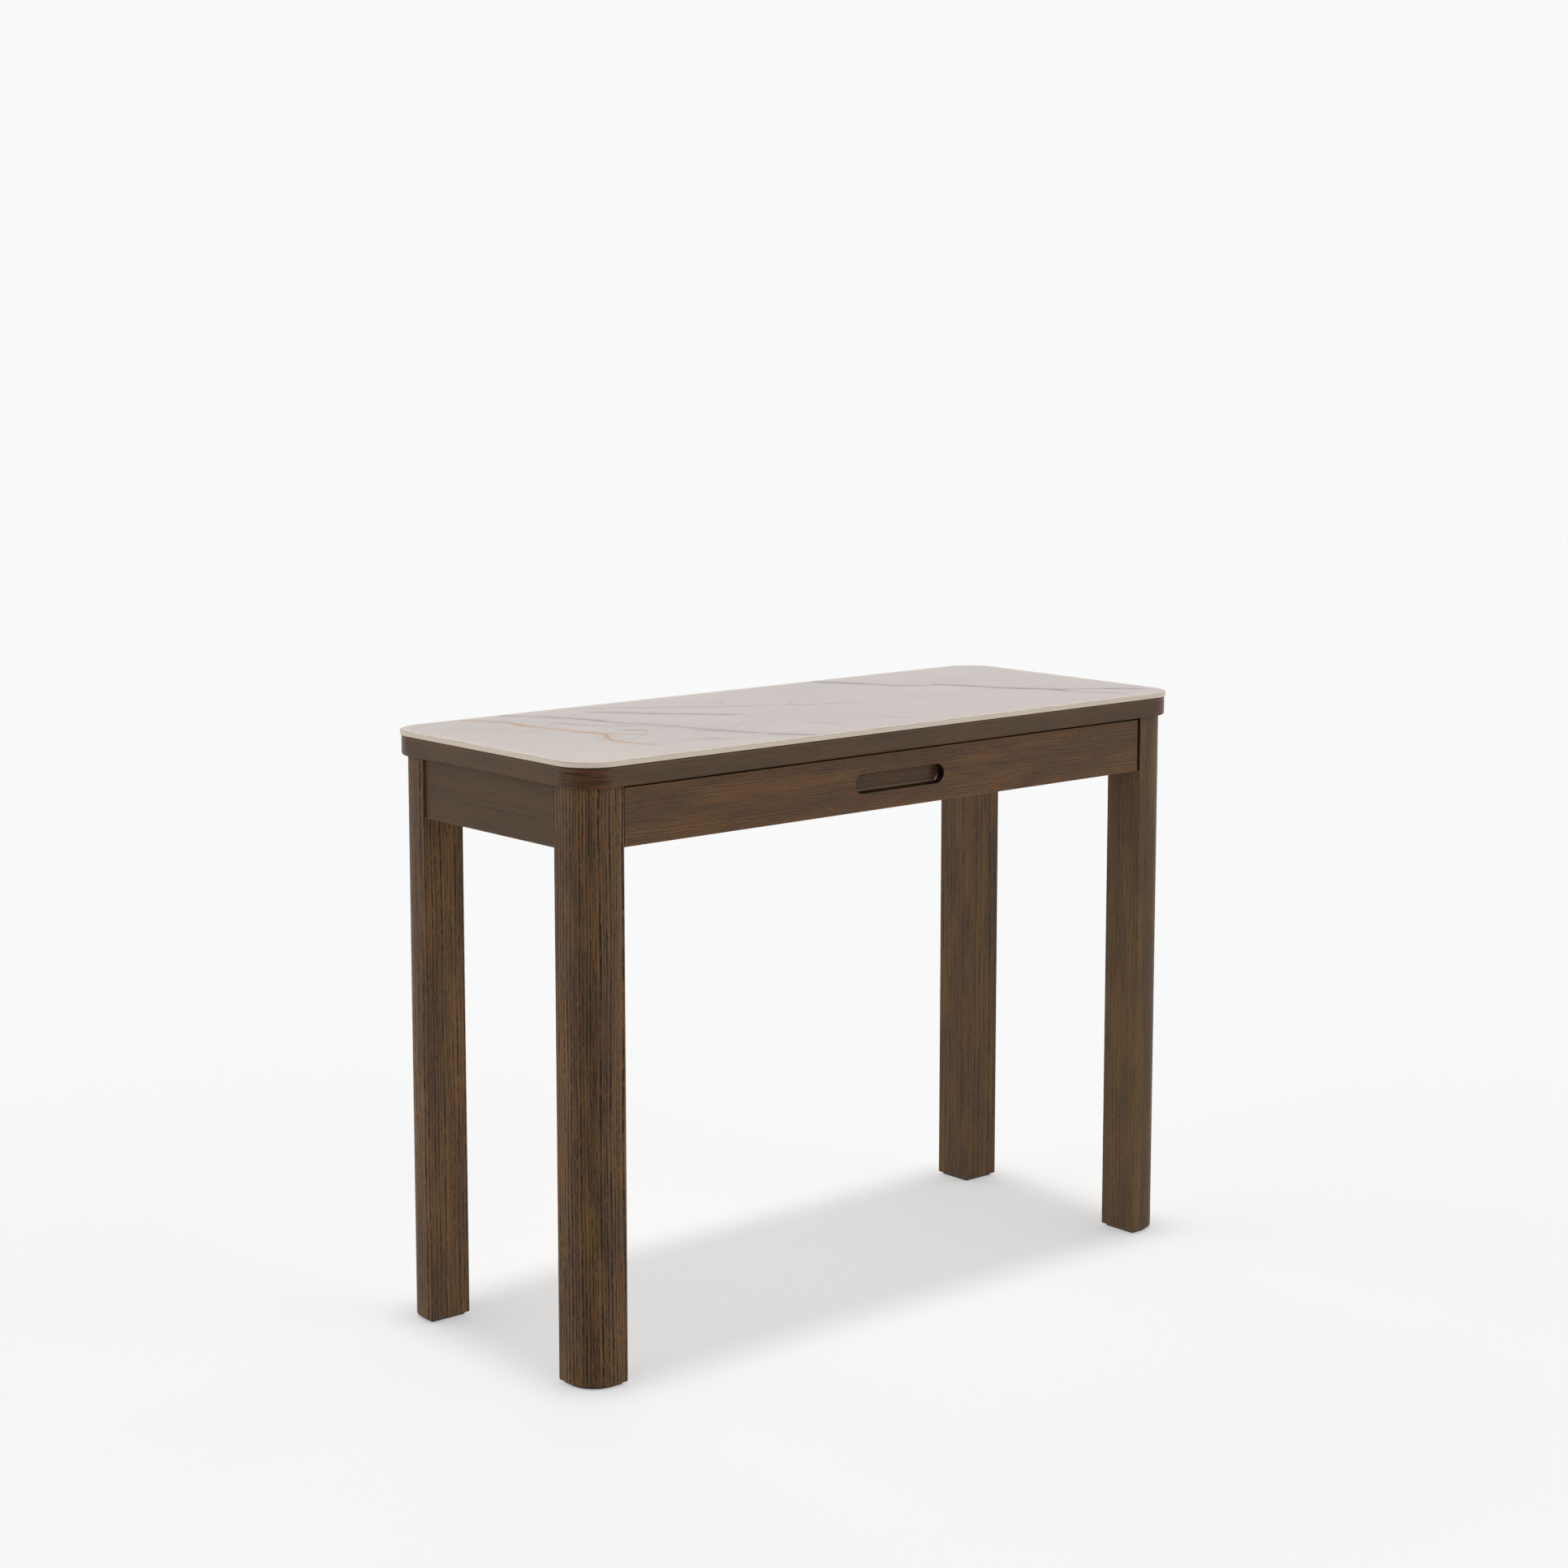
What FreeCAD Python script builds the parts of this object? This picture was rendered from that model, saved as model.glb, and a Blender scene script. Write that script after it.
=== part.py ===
"""Console table with a sintered-stone top, four oak legs and one full-width drawer on ball-bearing slides.

Millimetres. +X runs along the table, +Y from its front to its back and +Z up. The origin is on the floor
under the middle of the table, and the drawer opens towards -Y. Left is -X.
"""

import FreeCAD, Part

import math
import os

from FreeCAD import Vector

# Overall
TABLE_LENGTH = 1000.0
TABLE_DEPTH = 400.0
TABLE_HEIGHT = 740.0

# Stone slab and the board under it
STONE_THICKNESS = 6.0
STONE_CORNER_RADIUS = 48.0
STONE_TOP_EASE = 1.2
STONE_BOTTOM_EASE = 0.6
BOARD_THICKNESS = 25.0
BOARD_INSET = 1.6
BAND_THICKNESS = 6.0
BAND_TOP_EASE = 0.8
BAND_BOTTOM_ROUND = 3.0
BOND_PAD_RADIUS = 15.0
BOND_PAD_THICKNESS = 1.0
BOND_PAD_X = (-400.0, -200.0, 0.0, 200.0, 400.0)
BOND_PAD_Y = (-120.0, 120.0)

# Legs and feet
LEG_INSET = 9.5
LEG_SIZE = 58.0
LEG_CORNER_RADIUS = 38.0
LEG_ARRIS = 1.5
LEG_FOOT_EASE = 2.0
GLIDE_THICKNESS = 3.0
GLIDE_INSET = 4.5
GLIDE_ROUND = 2.0
GLIDE_EASE = 0.5
GLIDE_RECESS_RADIUS = 4.0
GLIDE_RECESS = 0.6

# Aprons, rail and the blocks that carry the slides
APRON_THICKNESS = 20.0
APRON_SETBACK = 3.5
APRON_BOTTOM = 635.0
SHADOW_GROOVE_WIDTH = 1.5
SHADOW_GROOVE_DEPTH = 5.0
WOOD_ARRIS = 0.8
RAIL_THICKNESS = 18.0
RAIL_DEPTH = 60.0
RAIL_BEHIND_FRONT = 2.0
PACKER_FRONT = -90.0
PACKER_BACK = 75.0
PACKER_BOTTOM = 645.0

# Drawer
FRONT_GAP = 3.0
FRONT_SIDE_GAP = 2.0
FRONT_SETBACK = 2.5
FRONT_THICKNESS = 20.0
FRONT_BOTTOM = 637.0
SLOT_LENGTH = 149.0
SLOT_HEIGHT = 24.4
SLOT_END_RADIUS = 12.0
SLOT_DEPTH = 12.0
SLOT_COVE = 4.0
SLOT_ARRIS = 1.0
BOX_BOTTOM = 643.0
BOX_HEIGHT = 44.0
BOX_BACK = 92.0
BOX_WALL = 12.0
BOTTOM_THICKNESS = 5.0
BOTTOM_RAISE = 8.0
GROOVE_DEPTH = 5.0
BUMPER_X = 380.0
BUMPER_RADIUS = 4.0
BUMPER_THICKNESS = 1.9
BUMPER_ROUND = 0.6

# Slides: three nested channels a side, with a ball cage between each two. A start or a reach is a distance
# from the face that the slide is screwed to, and so are both ends of a cage
SLIDE_LENGTH = 250.0
SLIDE_WIDTH = 12.7
SLIDE_HEIGHT = 35.0
SLIDE_Z = 665.0
SLIDE_BEHIND_FRONT = 2.0
SHEET = 1.1
RACE_GAP = 2.4
OUTER_REACH = 10.5
OUTER_LIP = (0.6, 0.9)
MIDDLE_REACH = 11.4
INNER_START = 5.0
OUTER_CAGE = (1.5, 9.5)
OUTER_BALL = 7.5
INNER_CAGE = (3.9, 10.6)
INNER_BALL = 8.5
BALL_RADIUS = 1.1
BALL_SEAT_RADIUS = 1.2
BALL_COUNT = 8
BALL_PITCH = 11.0
CAGE_LENGTH = 90.0
CAGE_SHEET = 0.5
CABINET_SCREW_Y = (-150.0, -41.0, 60.0)
RUNNER_SCREW_Y = (-130.0, -21.0, 78.0)
ACCESS_HOLE_RADIUS = 3.6

# Leg brackets. The back ones are plates across the corner, at a distance from where the aprons' faces meet
BRACKET_SHEET = 2.5
BRACKET_HEIGHT = 40.0
BRACKET_Z = 676.0
BRACKET_BEND = 1.5
BRACKET_SCREW_RISE = 12.0
LEG_FLANGE = 30.0
APRON_FLANGE = 35.0
APRON_FLANGE_SCREW = 25.0
PLATE_DISTANCE = 44.0
PLATE_FLANGE = 25.0
LEG_FLAT_DISTANCE = 40.0
LEG_FLAT_MARGIN = 4.0

# M8 hanger bolts, with their washers and nuts
BOLT_RADIUS = 4.0
BOLT_IN_LEG = 35.0
BOLT_PROUD = 3.0
BOLT_CHAMFER = 0.8
NUT_ACROSS_FLATS = 13.0
NUT_THICKNESS = 6.5
WASHER_RADIUS = 8.0
WASHER_HOLE_RADIUS = 4.2
WASHER_THICKNESS = 1.6

# Dowels
DOWEL_RADIUS = 4.0
DOWEL_HALF_LENGTH = 15.0
DOWEL_CHAMFER = 1.0
DOWEL_Z = (653.0, 693.0)
RAIL_DOWEL_Y = (-157.0, -141.0)

# Small angles that hold the board to the back apron
TOP_BRACKET_SIZE = 20.0
TOP_BRACKET_SHEET = 2.0
TOP_BRACKET_X = (-250.0, 0.0, 250.0)
TOP_BRACKET_SCREW = 12.0

# Screws, each as length and diameter
GLIDE_SCREW = (20.0, 4.0)
BRACKET_SCREW = (16.0, 4.0)
TOP_SCREW = (18.0, 4.0)
RAIL_SCREW = (32.0, 4.5)
PACKER_SCREW = (45.0, 4.5)
FRONT_SCREW = (25.0, 4.0)
BOX_SCREW = (30.0, 3.5)
CABINET_SCREW = (14.0, 3.2)
RUNNER_SCREW = (11.0, 3.2)
SCREW_HEAD = 0.92
SCREW_POINT = 0.8
SCREW_TIP_RADIUS = 0.3
RECESS_REACH = 0.6
RECESS_WIDTH = 0.2
RECESS_DEPTH = 0.7

# Where they go
RAIL_SCREW_X = (-300.0, 0.0, 300.0)
PACKER_SCREW_Y = (-70.0, 30.0)
PACKER_SCREW_INSET = 13.0
PACKER_BORE_DEPTH = 34.0
PACKER_BORE_RADIUS = 5.0
FRONT_SCREW_X = (-350.0, -150.0, 150.0, 350.0)
BOX_SCREW_Z = (660.0, 679.0)

# Clearance left around anything that sits in a hole, how far a cutter runs past a face, and the smallest
# distance that counts
PLAY = 0.05
OVERCUT = 1.0
SAME_PLACE = 1e-4

# Worked out from the above
HALF_LENGTH = TABLE_LENGTH / 2
HALF_DEPTH = TABLE_DEPTH / 2
BOARD_TOP = TABLE_HEIGHT - STONE_THICKNESS
BOARD_BOTTOM = BOARD_TOP - BOARD_THICKNESS
LEG_OUT_X = HALF_LENGTH - LEG_INSET
LEG_OUT_Y = HALF_DEPTH - LEG_INSET
LEG_IN_X = LEG_OUT_X - LEG_SIZE
LEG_IN_Y = LEG_OUT_Y - LEG_SIZE
APRON_OUT_X = LEG_OUT_X - APRON_SETBACK
APRON_OUT_Y = LEG_OUT_Y - APRON_SETBACK
APRON_IN_X = APRON_OUT_X - APRON_THICKNESS
APRON_IN_Y = APRON_OUT_Y - APRON_THICKNESS
FRONT_FACE_Y = -LEG_OUT_Y + FRONT_SETBACK
FRONT_BACK_Y = FRONT_FACE_Y + FRONT_THICKNESS
FRONT_TOP = BOARD_BOTTOM - FRONT_GAP
FRONT_HALF_LENGTH = LEG_IN_X - FRONT_SIDE_GAP
FRONT_MIDDLE_Z = (FRONT_BOTTOM + FRONT_TOP) / 2
RAIL_FRONT_Y = FRONT_BACK_Y + RAIL_BEHIND_FRONT
RAIL_BOTTOM = BOARD_BOTTOM - RAIL_THICKNESS
BOX_TOP = BOX_BOTTOM + BOX_HEIGHT
BOX_OUT_X = LEG_IN_X - SLIDE_WIDTH
BOX_IN_X = BOX_OUT_X - BOX_WALL
BOX_FRONT_IN_Y = FRONT_BACK_Y + BOX_WALL
BOX_BACK_IN_Y = BOX_BACK - BOX_WALL
SLIDE_FRONT_Y = FRONT_BACK_Y + SLIDE_BEHIND_FRONT
SLIDE_MIDDLE_Y = SLIDE_FRONT_Y + SLIDE_LENGTH / 2


# ---------------------------------------------------------------- shapes


def box(x0, x1, y0, y1, z0, z1):
    """A block between two corners."""
    return Part.makeBox(x1 - x0, y1 - y0, z1 - z0, Vector(x0, y0, z0))


def mirrored(shape):
    """The same shape on the other side of the table's middle."""
    return shape.mirror(Vector(0, 0, 0), Vector(1, 0, 0))


def rounded_polygon(points, radii):
    """A face in the XY plane whose corners are arcs of the given radii, or sharp where a radius is 0."""
    count = len(points)
    entries, leaves, middles = [], [], []
    for i in range(count):
        corner = Vector(*points[i], 0)
        to_last = (Vector(*points[i - 1], 0) - corner).normalize()
        to_next = (Vector(*points[(i + 1) % count], 0) - corner).normalize()
        half_angle = to_last.getAngle(to_next) / 2
        reach = radii[i] / math.tan(half_angle)
        inward = (to_last + to_next).normalize()
        entries.append(corner + to_last * reach)
        leaves.append(corner + to_next * reach)
        middles.append(corner + inward * (radii[i] / math.sin(half_angle) - radii[i]))
    edges = []
    for i in range(count):
        if radii[i] > 0:
            edges.append(Part.Arc(entries[i], middles[i], leaves[i]).toShape())
        start, end = leaves[i], entries[(i + 1) % count]
        if (end - start).Length > SAME_PLACE:
            edges.append(Part.LineSegment(start, end).toShape())
    return Part.Face(Part.Wire(edges))


def slab(half_x, half_y, radius, z0, z1):
    """A rectangular plate with four rounded corners, centred on the origin."""
    corners = [(-half_x, -half_y), (half_x, -half_y), (half_x, half_y), (-half_x, half_y)]
    face = rounded_polygon(corners, [radius] * 4)
    face.translate(Vector(0, 0, z0))
    return face.extrude(Vector(0, 0, z1 - z0))


def prism(points, z0, z1, radii=None):
    """An upright prism on a polygon."""
    face = rounded_polygon(points, radii or [0] * len(points))
    face.translate(Vector(0, 0, z0))
    return face.extrude(Vector(0, 0, z1 - z0))


def near(a, b):
    """Whether two distances are the same, within what the modeller can tell apart."""
    return abs(a - b) < SAME_PLACE


def edges_at_z(shape, z):
    """The edges of a shape that lie flat at one height."""
    return [e for e in shape.Edges if near(e.BoundBox.ZMin, z) and near(e.BoundBox.ZMax, z)]


def edges_at_y(shape, y):
    """The edges of a shape that lie in one plane across the table's depth."""
    return [e for e in shape.Edges if near(e.BoundBox.YMin, y) and near(e.BoundBox.YMax, y)]


def rims(shape):
    """The circular edges of a turned shape."""
    return [e for e in shape.Edges if e.Closed]


def hexagon(across_flats, thickness):
    """A hexagonal prism that stands on the origin."""
    radius = across_flats / math.sqrt(3)
    corners = [(radius * math.cos(math.pi * k / 3), radius * math.sin(math.pi * k / 3)) for k in range(6)]
    return prism(corners, 0, thickness)


def aimed(shape, point, direction):
    """Moves a shape made at the origin, pointing along -Z, so that it points along direction from point."""
    moved = shape.copy()
    turn = FreeCAD.Rotation(Vector(0, 0, -1), Vector(*direction))
    moved.Placement = FreeCAD.Placement(Vector(*point), turn)
    return moved


def group(shapes):
    """Several separate solids in one shape."""
    return Part.makeCompound(shapes)


def cut_by(shape, tools):
    """The shape with every tool's space taken out of it."""
    return shape.cut(group(tools)) if tools else shape


# ---------------------------------------------------------------- fasteners


def wood_screw(length, diameter, play):
    """A countersunk cross-recess screw, head at the origin, pointing along -Z. With play, the hole for it."""
    shank = diameter / 2 + play
    head = diameter * SCREW_HEAD + play
    head_height = head - shank
    point = diameter * SCREW_POINT
    bottom = -length - play
    shank_length = length + play - head_height - point
    body = Part.makeCone(shank, head, head_height, Vector(0, 0, -head_height))
    body = body.fuse(Part.makeCylinder(shank, shank_length, Vector(0, 0, bottom + point)))
    body = body.fuse(Part.makeCone(SCREW_TIP_RADIUS + play, shank, point, Vector(0, 0, bottom)))
    if play:
        return body
    reach, half_width, depth = head * RECESS_REACH, head * RECESS_WIDTH / 2, head_height * RECESS_DEPTH
    body = body.cut(box(-reach, reach, -half_width, half_width, -depth, OVERCUT))
    return body.cut(box(-half_width, half_width, -reach, reach, -depth, OVERCUT))


class Fasteners:
    """Screws or pins of one size: places are (point, direction) pairs, and holes are the spaces they need."""

    def __init__(self, make, places):
        self.solids = [aimed(make(0.0), point, direction) for point, direction in places]
        self.holes = [aimed(make(PLAY), point, direction) for point, direction in places]


def screws(size, places):
    """Wood screws of one size, given as length and diameter."""
    return Fasteners(lambda play: wood_screw(*size, play), places)


def both_sides(places):
    """Places on the left, and their mirror images on the right."""
    return places + [((-x, y, z), (-dx, dy, dz)) for (x, y, z), (dx, dy, dz) in places]


def joint_dowels():
    """Beech dowels between the legs and the aprons, and between the front legs and the top rail."""

    def make(play):
        length = 2 * (DOWEL_HALF_LENGTH + play)
        pin = Part.makeCylinder(DOWEL_RADIUS + play, length, Vector(0, 0, play - length))
        return pin if play else pin.makeChamfer(DOWEL_CHAMFER, rims(pin))

    side_x = -(APRON_OUT_X + APRON_IN_X) / 2
    back_y = (APRON_OUT_Y + APRON_IN_Y) / 2
    places = []
    for z in DOWEL_Z:
        for end in (-LEG_IN_Y, LEG_IN_Y):
            places.append(((side_x, end - DOWEL_HALF_LENGTH, z), (0, 1, 0)))
        places.append(((-LEG_IN_X - DOWEL_HALF_LENGTH, back_y, z), (1, 0, 0)))
    for y in RAIL_DOWEL_Y:
        places.append(((-LEG_IN_X - DOWEL_HALF_LENGTH, y, BOARD_BOTTOM - RAIL_THICKNESS / 2), (1, 0, 0)))
    return Fasteners(make, both_sides(places))


def hanger_places():
    """Where each left-hand hanger bolt meets its leg: the bolt's point on the leg's flat, and its way out."""
    front_x = -(APRON_IN_X + LEG_IN_X) / 2
    reach = LEG_FLAT_DISTANCE / math.sqrt(2)
    diagonal = math.sqrt(0.5)
    return [
        ((front_x, -LEG_IN_Y, BRACKET_Z), (0, 1, 0)),
        ((-APRON_IN_X + reach, APRON_IN_Y - reach, BRACKET_Z), (diagonal, -diagonal, 0)),
    ]


def hanger_hardware():
    """Hanger bolts, their washers and nuts, and the holes the bolts need."""
    gaps = [BRACKET_SHEET, PLATE_DISTANCE - LEG_FLAT_DISTANCE + BRACKET_SHEET]
    bolts, washers, nuts, holes = [], [], [], []
    for (point, out), gap in zip(hanger_places(), gaps):
        start = Vector(*point)
        way = Vector(*out)
        seat = start + way * gap
        length = BOLT_IN_LEG + gap + WASHER_THICKNESS + NUT_THICKNESS + BOLT_PROUD
        bolt = Part.makeCylinder(BOLT_RADIUS, length, start - way * BOLT_IN_LEG, way)
        bolts.append(bolt.makeChamfer(BOLT_CHAMFER, rims(bolt)))
        hole = Part.makeCylinder(BOLT_RADIUS + PLAY, length + PLAY, start - way * (BOLT_IN_LEG + PLAY), way)
        holes.append(hole)
        washer = Part.makeCylinder(WASHER_RADIUS, WASHER_THICKNESS, seat, way)
        washers.append(washer.cut(Part.makeCylinder(WASHER_HOLE_RADIUS, length, start, way)))
        nut = aimed(hexagon(NUT_ACROSS_FLATS, NUT_THICKNESS), seat + way * WASHER_THICKNESS, -way)
        nuts.append(nut.cut(hole))
    for shapes in (bolts, washers, nuts, holes):
        shapes.extend([mirrored(s) for s in shapes])
    return bolts, washers, nuts, holes


# ---------------------------------------------------------------- top


def stone_top():
    plate = slab(HALF_LENGTH, HALF_DEPTH, STONE_CORNER_RADIUS, BOARD_TOP, TABLE_HEIGHT)
    plate = plate.makeChamfer(STONE_TOP_EASE, edges_at_z(plate, TABLE_HEIGHT))
    return plate.makeChamfer(STONE_BOTTOM_EASE, edges_at_z(plate, BOARD_TOP))


def board_outline(inset):
    """The board's plate, drawn in by inset from its finished edge."""
    edge = BOARD_INSET + inset
    return slab(HALF_LENGTH - edge, HALF_DEPTH - edge, STONE_CORNER_RADIUS - edge, BOARD_BOTTOM, BOARD_TOP)


def bond_pads(radius):
    """Silicone pads in shallow recesses, which bond the stone to the board."""
    z = BOARD_TOP - BOND_PAD_THICKNESS
    places = [Vector(x, y, z) for x in BOND_PAD_X for y in BOND_PAD_Y]
    return [Part.makeCylinder(radius, BOND_PAD_THICKNESS, place) for place in places]


def top_board(holes):
    core = board_outline(BAND_THICKNESS)
    return cut_by(core, bond_pads(BOND_PAD_RADIUS) + holes)


def top_edge_band():
    """The oak edge round the board, well rounded underneath and just eased under the stone."""
    outer = board_outline(0)
    outer = outer.makeFillet(BAND_BOTTOM_ROUND, edges_at_z(outer, BOARD_BOTTOM))
    outer = outer.makeFillet(BAND_TOP_EASE, edges_at_z(outer, BOARD_TOP))
    return outer.cut(board_outline(BAND_THICKNESS))


# ---------------------------------------------------------------- legs and feet


def leg_outline(inset, z0, z1, small_radius):
    """The front-left leg's section, drawn in by inset, with its one large round on the outer corner."""
    x0, x1 = -LEG_OUT_X + inset, -LEG_IN_X - inset
    y0, y1 = -LEG_OUT_Y + inset, -LEG_IN_Y - inset
    corners = [(x0, y0), (x1, y0), (x1, y1), (x0, y1)]
    return prism(corners, z0, z1, [LEG_CORNER_RADIUS - inset] + [small_radius] * 3)


def at_back(shape):
    """A front part moved to the back by mirroring."""
    return shape.mirror(Vector(0, 0, 0), Vector(0, 1, 0))


def leg_blank():
    """The front-left leg before it is drilled, eased round its foot."""
    leg = leg_outline(0, GLIDE_THICKNESS, BOARD_BOTTOM, LEG_ARRIS)
    return leg.makeFillet(LEG_FOOT_EASE, edges_at_z(leg, GLIDE_THICKNESS))


def front_leg(holes):
    return cut_by(leg_blank(), holes)


def back_leg(holes):
    """As the front leg, with a flat cut across its inner corner, which the hanger bolt stands on."""
    reach = LEG_FLAT_DISTANCE * math.sqrt(2)
    corner_x, corner_y = -APRON_IN_X, APRON_IN_Y
    wedge = prism(
        [(corner_x + reach, corner_y), (corner_x, corner_y - reach), (corner_x + reach, corner_y - reach)],
        BRACKET_Z - BRACKET_HEIGHT / 2 - LEG_FLAT_MARGIN,
        BOARD_BOTTOM,
    )
    return cut_by(at_back(leg_blank()), [wedge] + holes)


def foot_glide(holes):
    pad = leg_outline(GLIDE_INSET, 0, GLIDE_THICKNESS, GLIDE_ROUND)
    pad = pad.makeChamfer(GLIDE_EASE, edges_at_z(pad, 0))
    return cut_by(pad, holes)


def glide_screws():
    centre_x = -(LEG_OUT_X + LEG_IN_X) / 2
    centre_y = (LEG_OUT_Y + LEG_IN_Y) / 2
    places = [((centre_x, y, GLIDE_RECESS), (0, 0, 1)) for y in (-centre_y, centre_y)]
    fasteners = screws(GLIDE_SCREW, both_sides(places))
    for x in (centre_x, -centre_x):
        for y in (-centre_y, centre_y):
            fasteners.holes.append(Part.makeCylinder(GLIDE_RECESS_RADIUS, GLIDE_RECESS, Vector(x, y, 0)))
    return fasteners


# ---------------------------------------------------------------- frame


def apron(half_length):
    """An apron along X, its outer face at y = 0, with eased bottom edges and a shadow groove at each end."""
    board = box(-half_length, half_length, -APRON_THICKNESS, 0, APRON_BOTTOM, BOARD_BOTTOM)
    board = board.makeFillet(WOOD_ARRIS, edges_at_z(board, APRON_BOTTOM))
    inner = half_length - SHADOW_GROOVE_WIDTH
    groove = box(inner, half_length, -SHADOW_GROOVE_DEPTH, 0, APRON_BOTTOM, BOARD_BOTTOM)
    return cut_by(board, [groove, mirrored(groove)])


def side_apron(holes):
    board = apron(LEG_IN_Y)
    board.rotate(Vector(0, 0, 0), Vector(0, 0, 1), 90)
    board.translate(Vector(-APRON_OUT_X, 0, 0))
    return cut_by(board, holes)


def back_apron(holes):
    board = apron(LEG_IN_X)
    board.translate(Vector(0, APRON_OUT_Y, 0))
    return cut_by(board, holes)


def front_top_rail(holes):
    rail = box(-LEG_IN_X, LEG_IN_X, RAIL_FRONT_Y, RAIL_FRONT_Y + RAIL_DEPTH, RAIL_BOTTOM, BOARD_BOTTOM)
    return cut_by(rail, holes)


def slide_packer(holes):
    """The block that fills the side apron out to the legs' inner faces, where the slide is screwed on."""
    block = box(-APRON_IN_X, -LEG_IN_X, PACKER_FRONT, PACKER_BACK, PACKER_BOTTOM, BOARD_BOTTOM)
    return cut_by(block, holes)


def front_angle_bracket(holes):
    """A bent steel angle in the corner between a front leg's back face and the side apron."""
    z0, z1 = BRACKET_Z - BRACKET_HEIGHT / 2, BRACKET_Z + BRACKET_HEIGHT / 2
    x0, y0 = -APRON_IN_X, -LEG_IN_Y
    outline = [
        (x0, y0),
        (x0 + LEG_FLANGE, y0),
        (x0 + LEG_FLANGE, y0 + BRACKET_SHEET),
        (x0 + BRACKET_SHEET, y0 + BRACKET_SHEET),
        (x0 + BRACKET_SHEET, y0 + APRON_FLANGE),
        (x0, y0 + APRON_FLANGE),
    ]
    return cut_by(prism(outline, z0, z1, [BRACKET_BEND, 0, 0, BRACKET_BEND, 0, 0]), holes)


def back_corner_bracket(holes):
    """A steel plate across a back corner, with a flange along each apron."""
    z0, z1 = BRACKET_Z - BRACKET_HEIGHT / 2, BRACKET_Z + BRACKET_HEIGHT / 2
    near = PLATE_DISTANCE * math.sqrt(2)
    far = near + BRACKET_SHEET * math.sqrt(2)
    end = near + PLATE_FLANGE
    steps = [
        (end, 0),
        (near, 0),
        (0, near),
        (0, end),
        (BRACKET_SHEET, end),
        (BRACKET_SHEET, far - BRACKET_SHEET),
        (far - BRACKET_SHEET, BRACKET_SHEET),
        (end, BRACKET_SHEET),
    ]
    outline = [(-APRON_IN_X + u, APRON_IN_Y - v) for u, v in steps]
    return cut_by(prism(outline, z0, z1), holes)


def bracket_screws():
    """Screws that hold the leg brackets to the aprons, and the top brackets to the back apron."""
    plate_x = -APRON_IN_X + BRACKET_SHEET
    plate_y = APRON_IN_Y - BRACKET_SHEET
    flange_middle = PLATE_DISTANCE * math.sqrt(2) + PLATE_FLANGE / 2
    places = []
    for z in (BRACKET_Z - BRACKET_SCREW_RISE, BRACKET_Z + BRACKET_SCREW_RISE):
        places.append(((plate_x, -LEG_IN_Y + APRON_FLANGE_SCREW, z), (-1, 0, 0)))
        places.append(((plate_x, APRON_IN_Y - flange_middle, z), (-1, 0, 0)))
        places.append(((-APRON_IN_X + flange_middle, plate_y, z), (0, 1, 0)))
    top_y = APRON_IN_Y - TOP_BRACKET_SHEET
    top = [((x, top_y, BOARD_BOTTOM - TOP_BRACKET_SCREW), (0, 1, 0)) for x in TOP_BRACKET_X]
    return screws(BRACKET_SCREW, both_sides(places) + top)


def top_brackets(holes):
    """Small steel angles that hold the board down to the back apron."""
    brackets = []
    for x in TOP_BRACKET_X:
        x0, x1 = x - TOP_BRACKET_SIZE / 2, x + TOP_BRACKET_SIZE / 2
        y0, z0 = APRON_IN_Y - TOP_BRACKET_SIZE, BOARD_BOTTOM - TOP_BRACKET_SIZE
        upright = box(x0, x1, APRON_IN_Y - TOP_BRACKET_SHEET, APRON_IN_Y, z0, BOARD_BOTTOM)
        flat = box(x0, x1, y0, APRON_IN_Y, BOARD_BOTTOM - TOP_BRACKET_SHEET, BOARD_BOTTOM)
        brackets.append(cut_by(upright.fuse(flat).removeSplitter(), holes))
    return group(brackets)


def top_bracket_screws():
    y, z = APRON_IN_Y - TOP_BRACKET_SCREW, BOARD_BOTTOM - TOP_BRACKET_SHEET
    return screws(TOP_SCREW, [((x, y, z), (0, 0, 1)) for x in TOP_BRACKET_X])


def rail_screws():
    """Screws up through the top rail into the board."""
    y = RAIL_FRONT_Y + RAIL_DEPTH / 2
    return screws(RAIL_SCREW, [((x, y, RAIL_BOTTOM), (0, 0, 1)) for x in RAIL_SCREW_X])


def packer_screws():
    """Long screws in deep counterbores, up through the packers into the board."""
    x, z = -APRON_IN_X + PACKER_SCREW_INSET, PACKER_BOTTOM + PACKER_BORE_DEPTH
    fasteners = screws(PACKER_SCREW, both_sides([((x, y, z), (0, 0, 1)) for y in PACKER_SCREW_Y]))
    for y in PACKER_SCREW_Y:
        bore = Part.makeCylinder(PACKER_BORE_RADIUS, PACKER_BORE_DEPTH, Vector(x, y, PACKER_BOTTOM))
        fasteners.holes.extend([bore, mirrored(bore)])
    return fasteners


# ---------------------------------------------------------------- drawer


def finger_slot():
    """The routed slot's space: a pocket with round ends and a coved floor."""
    pocket = slab(SLOT_LENGTH / 2, SLOT_HEIGHT / 2, SLOT_END_RADIUS, 0, SLOT_DEPTH)
    pocket = pocket.makeFillet(SLOT_COVE, edges_at_z(pocket, 0))
    pocket.rotate(Vector(0, 0, 0), Vector(1, 0, 0), 90)
    pocket.translate(Vector(0, FRONT_FACE_Y + SLOT_DEPTH, FRONT_MIDDLE_Z))
    return pocket


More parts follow.
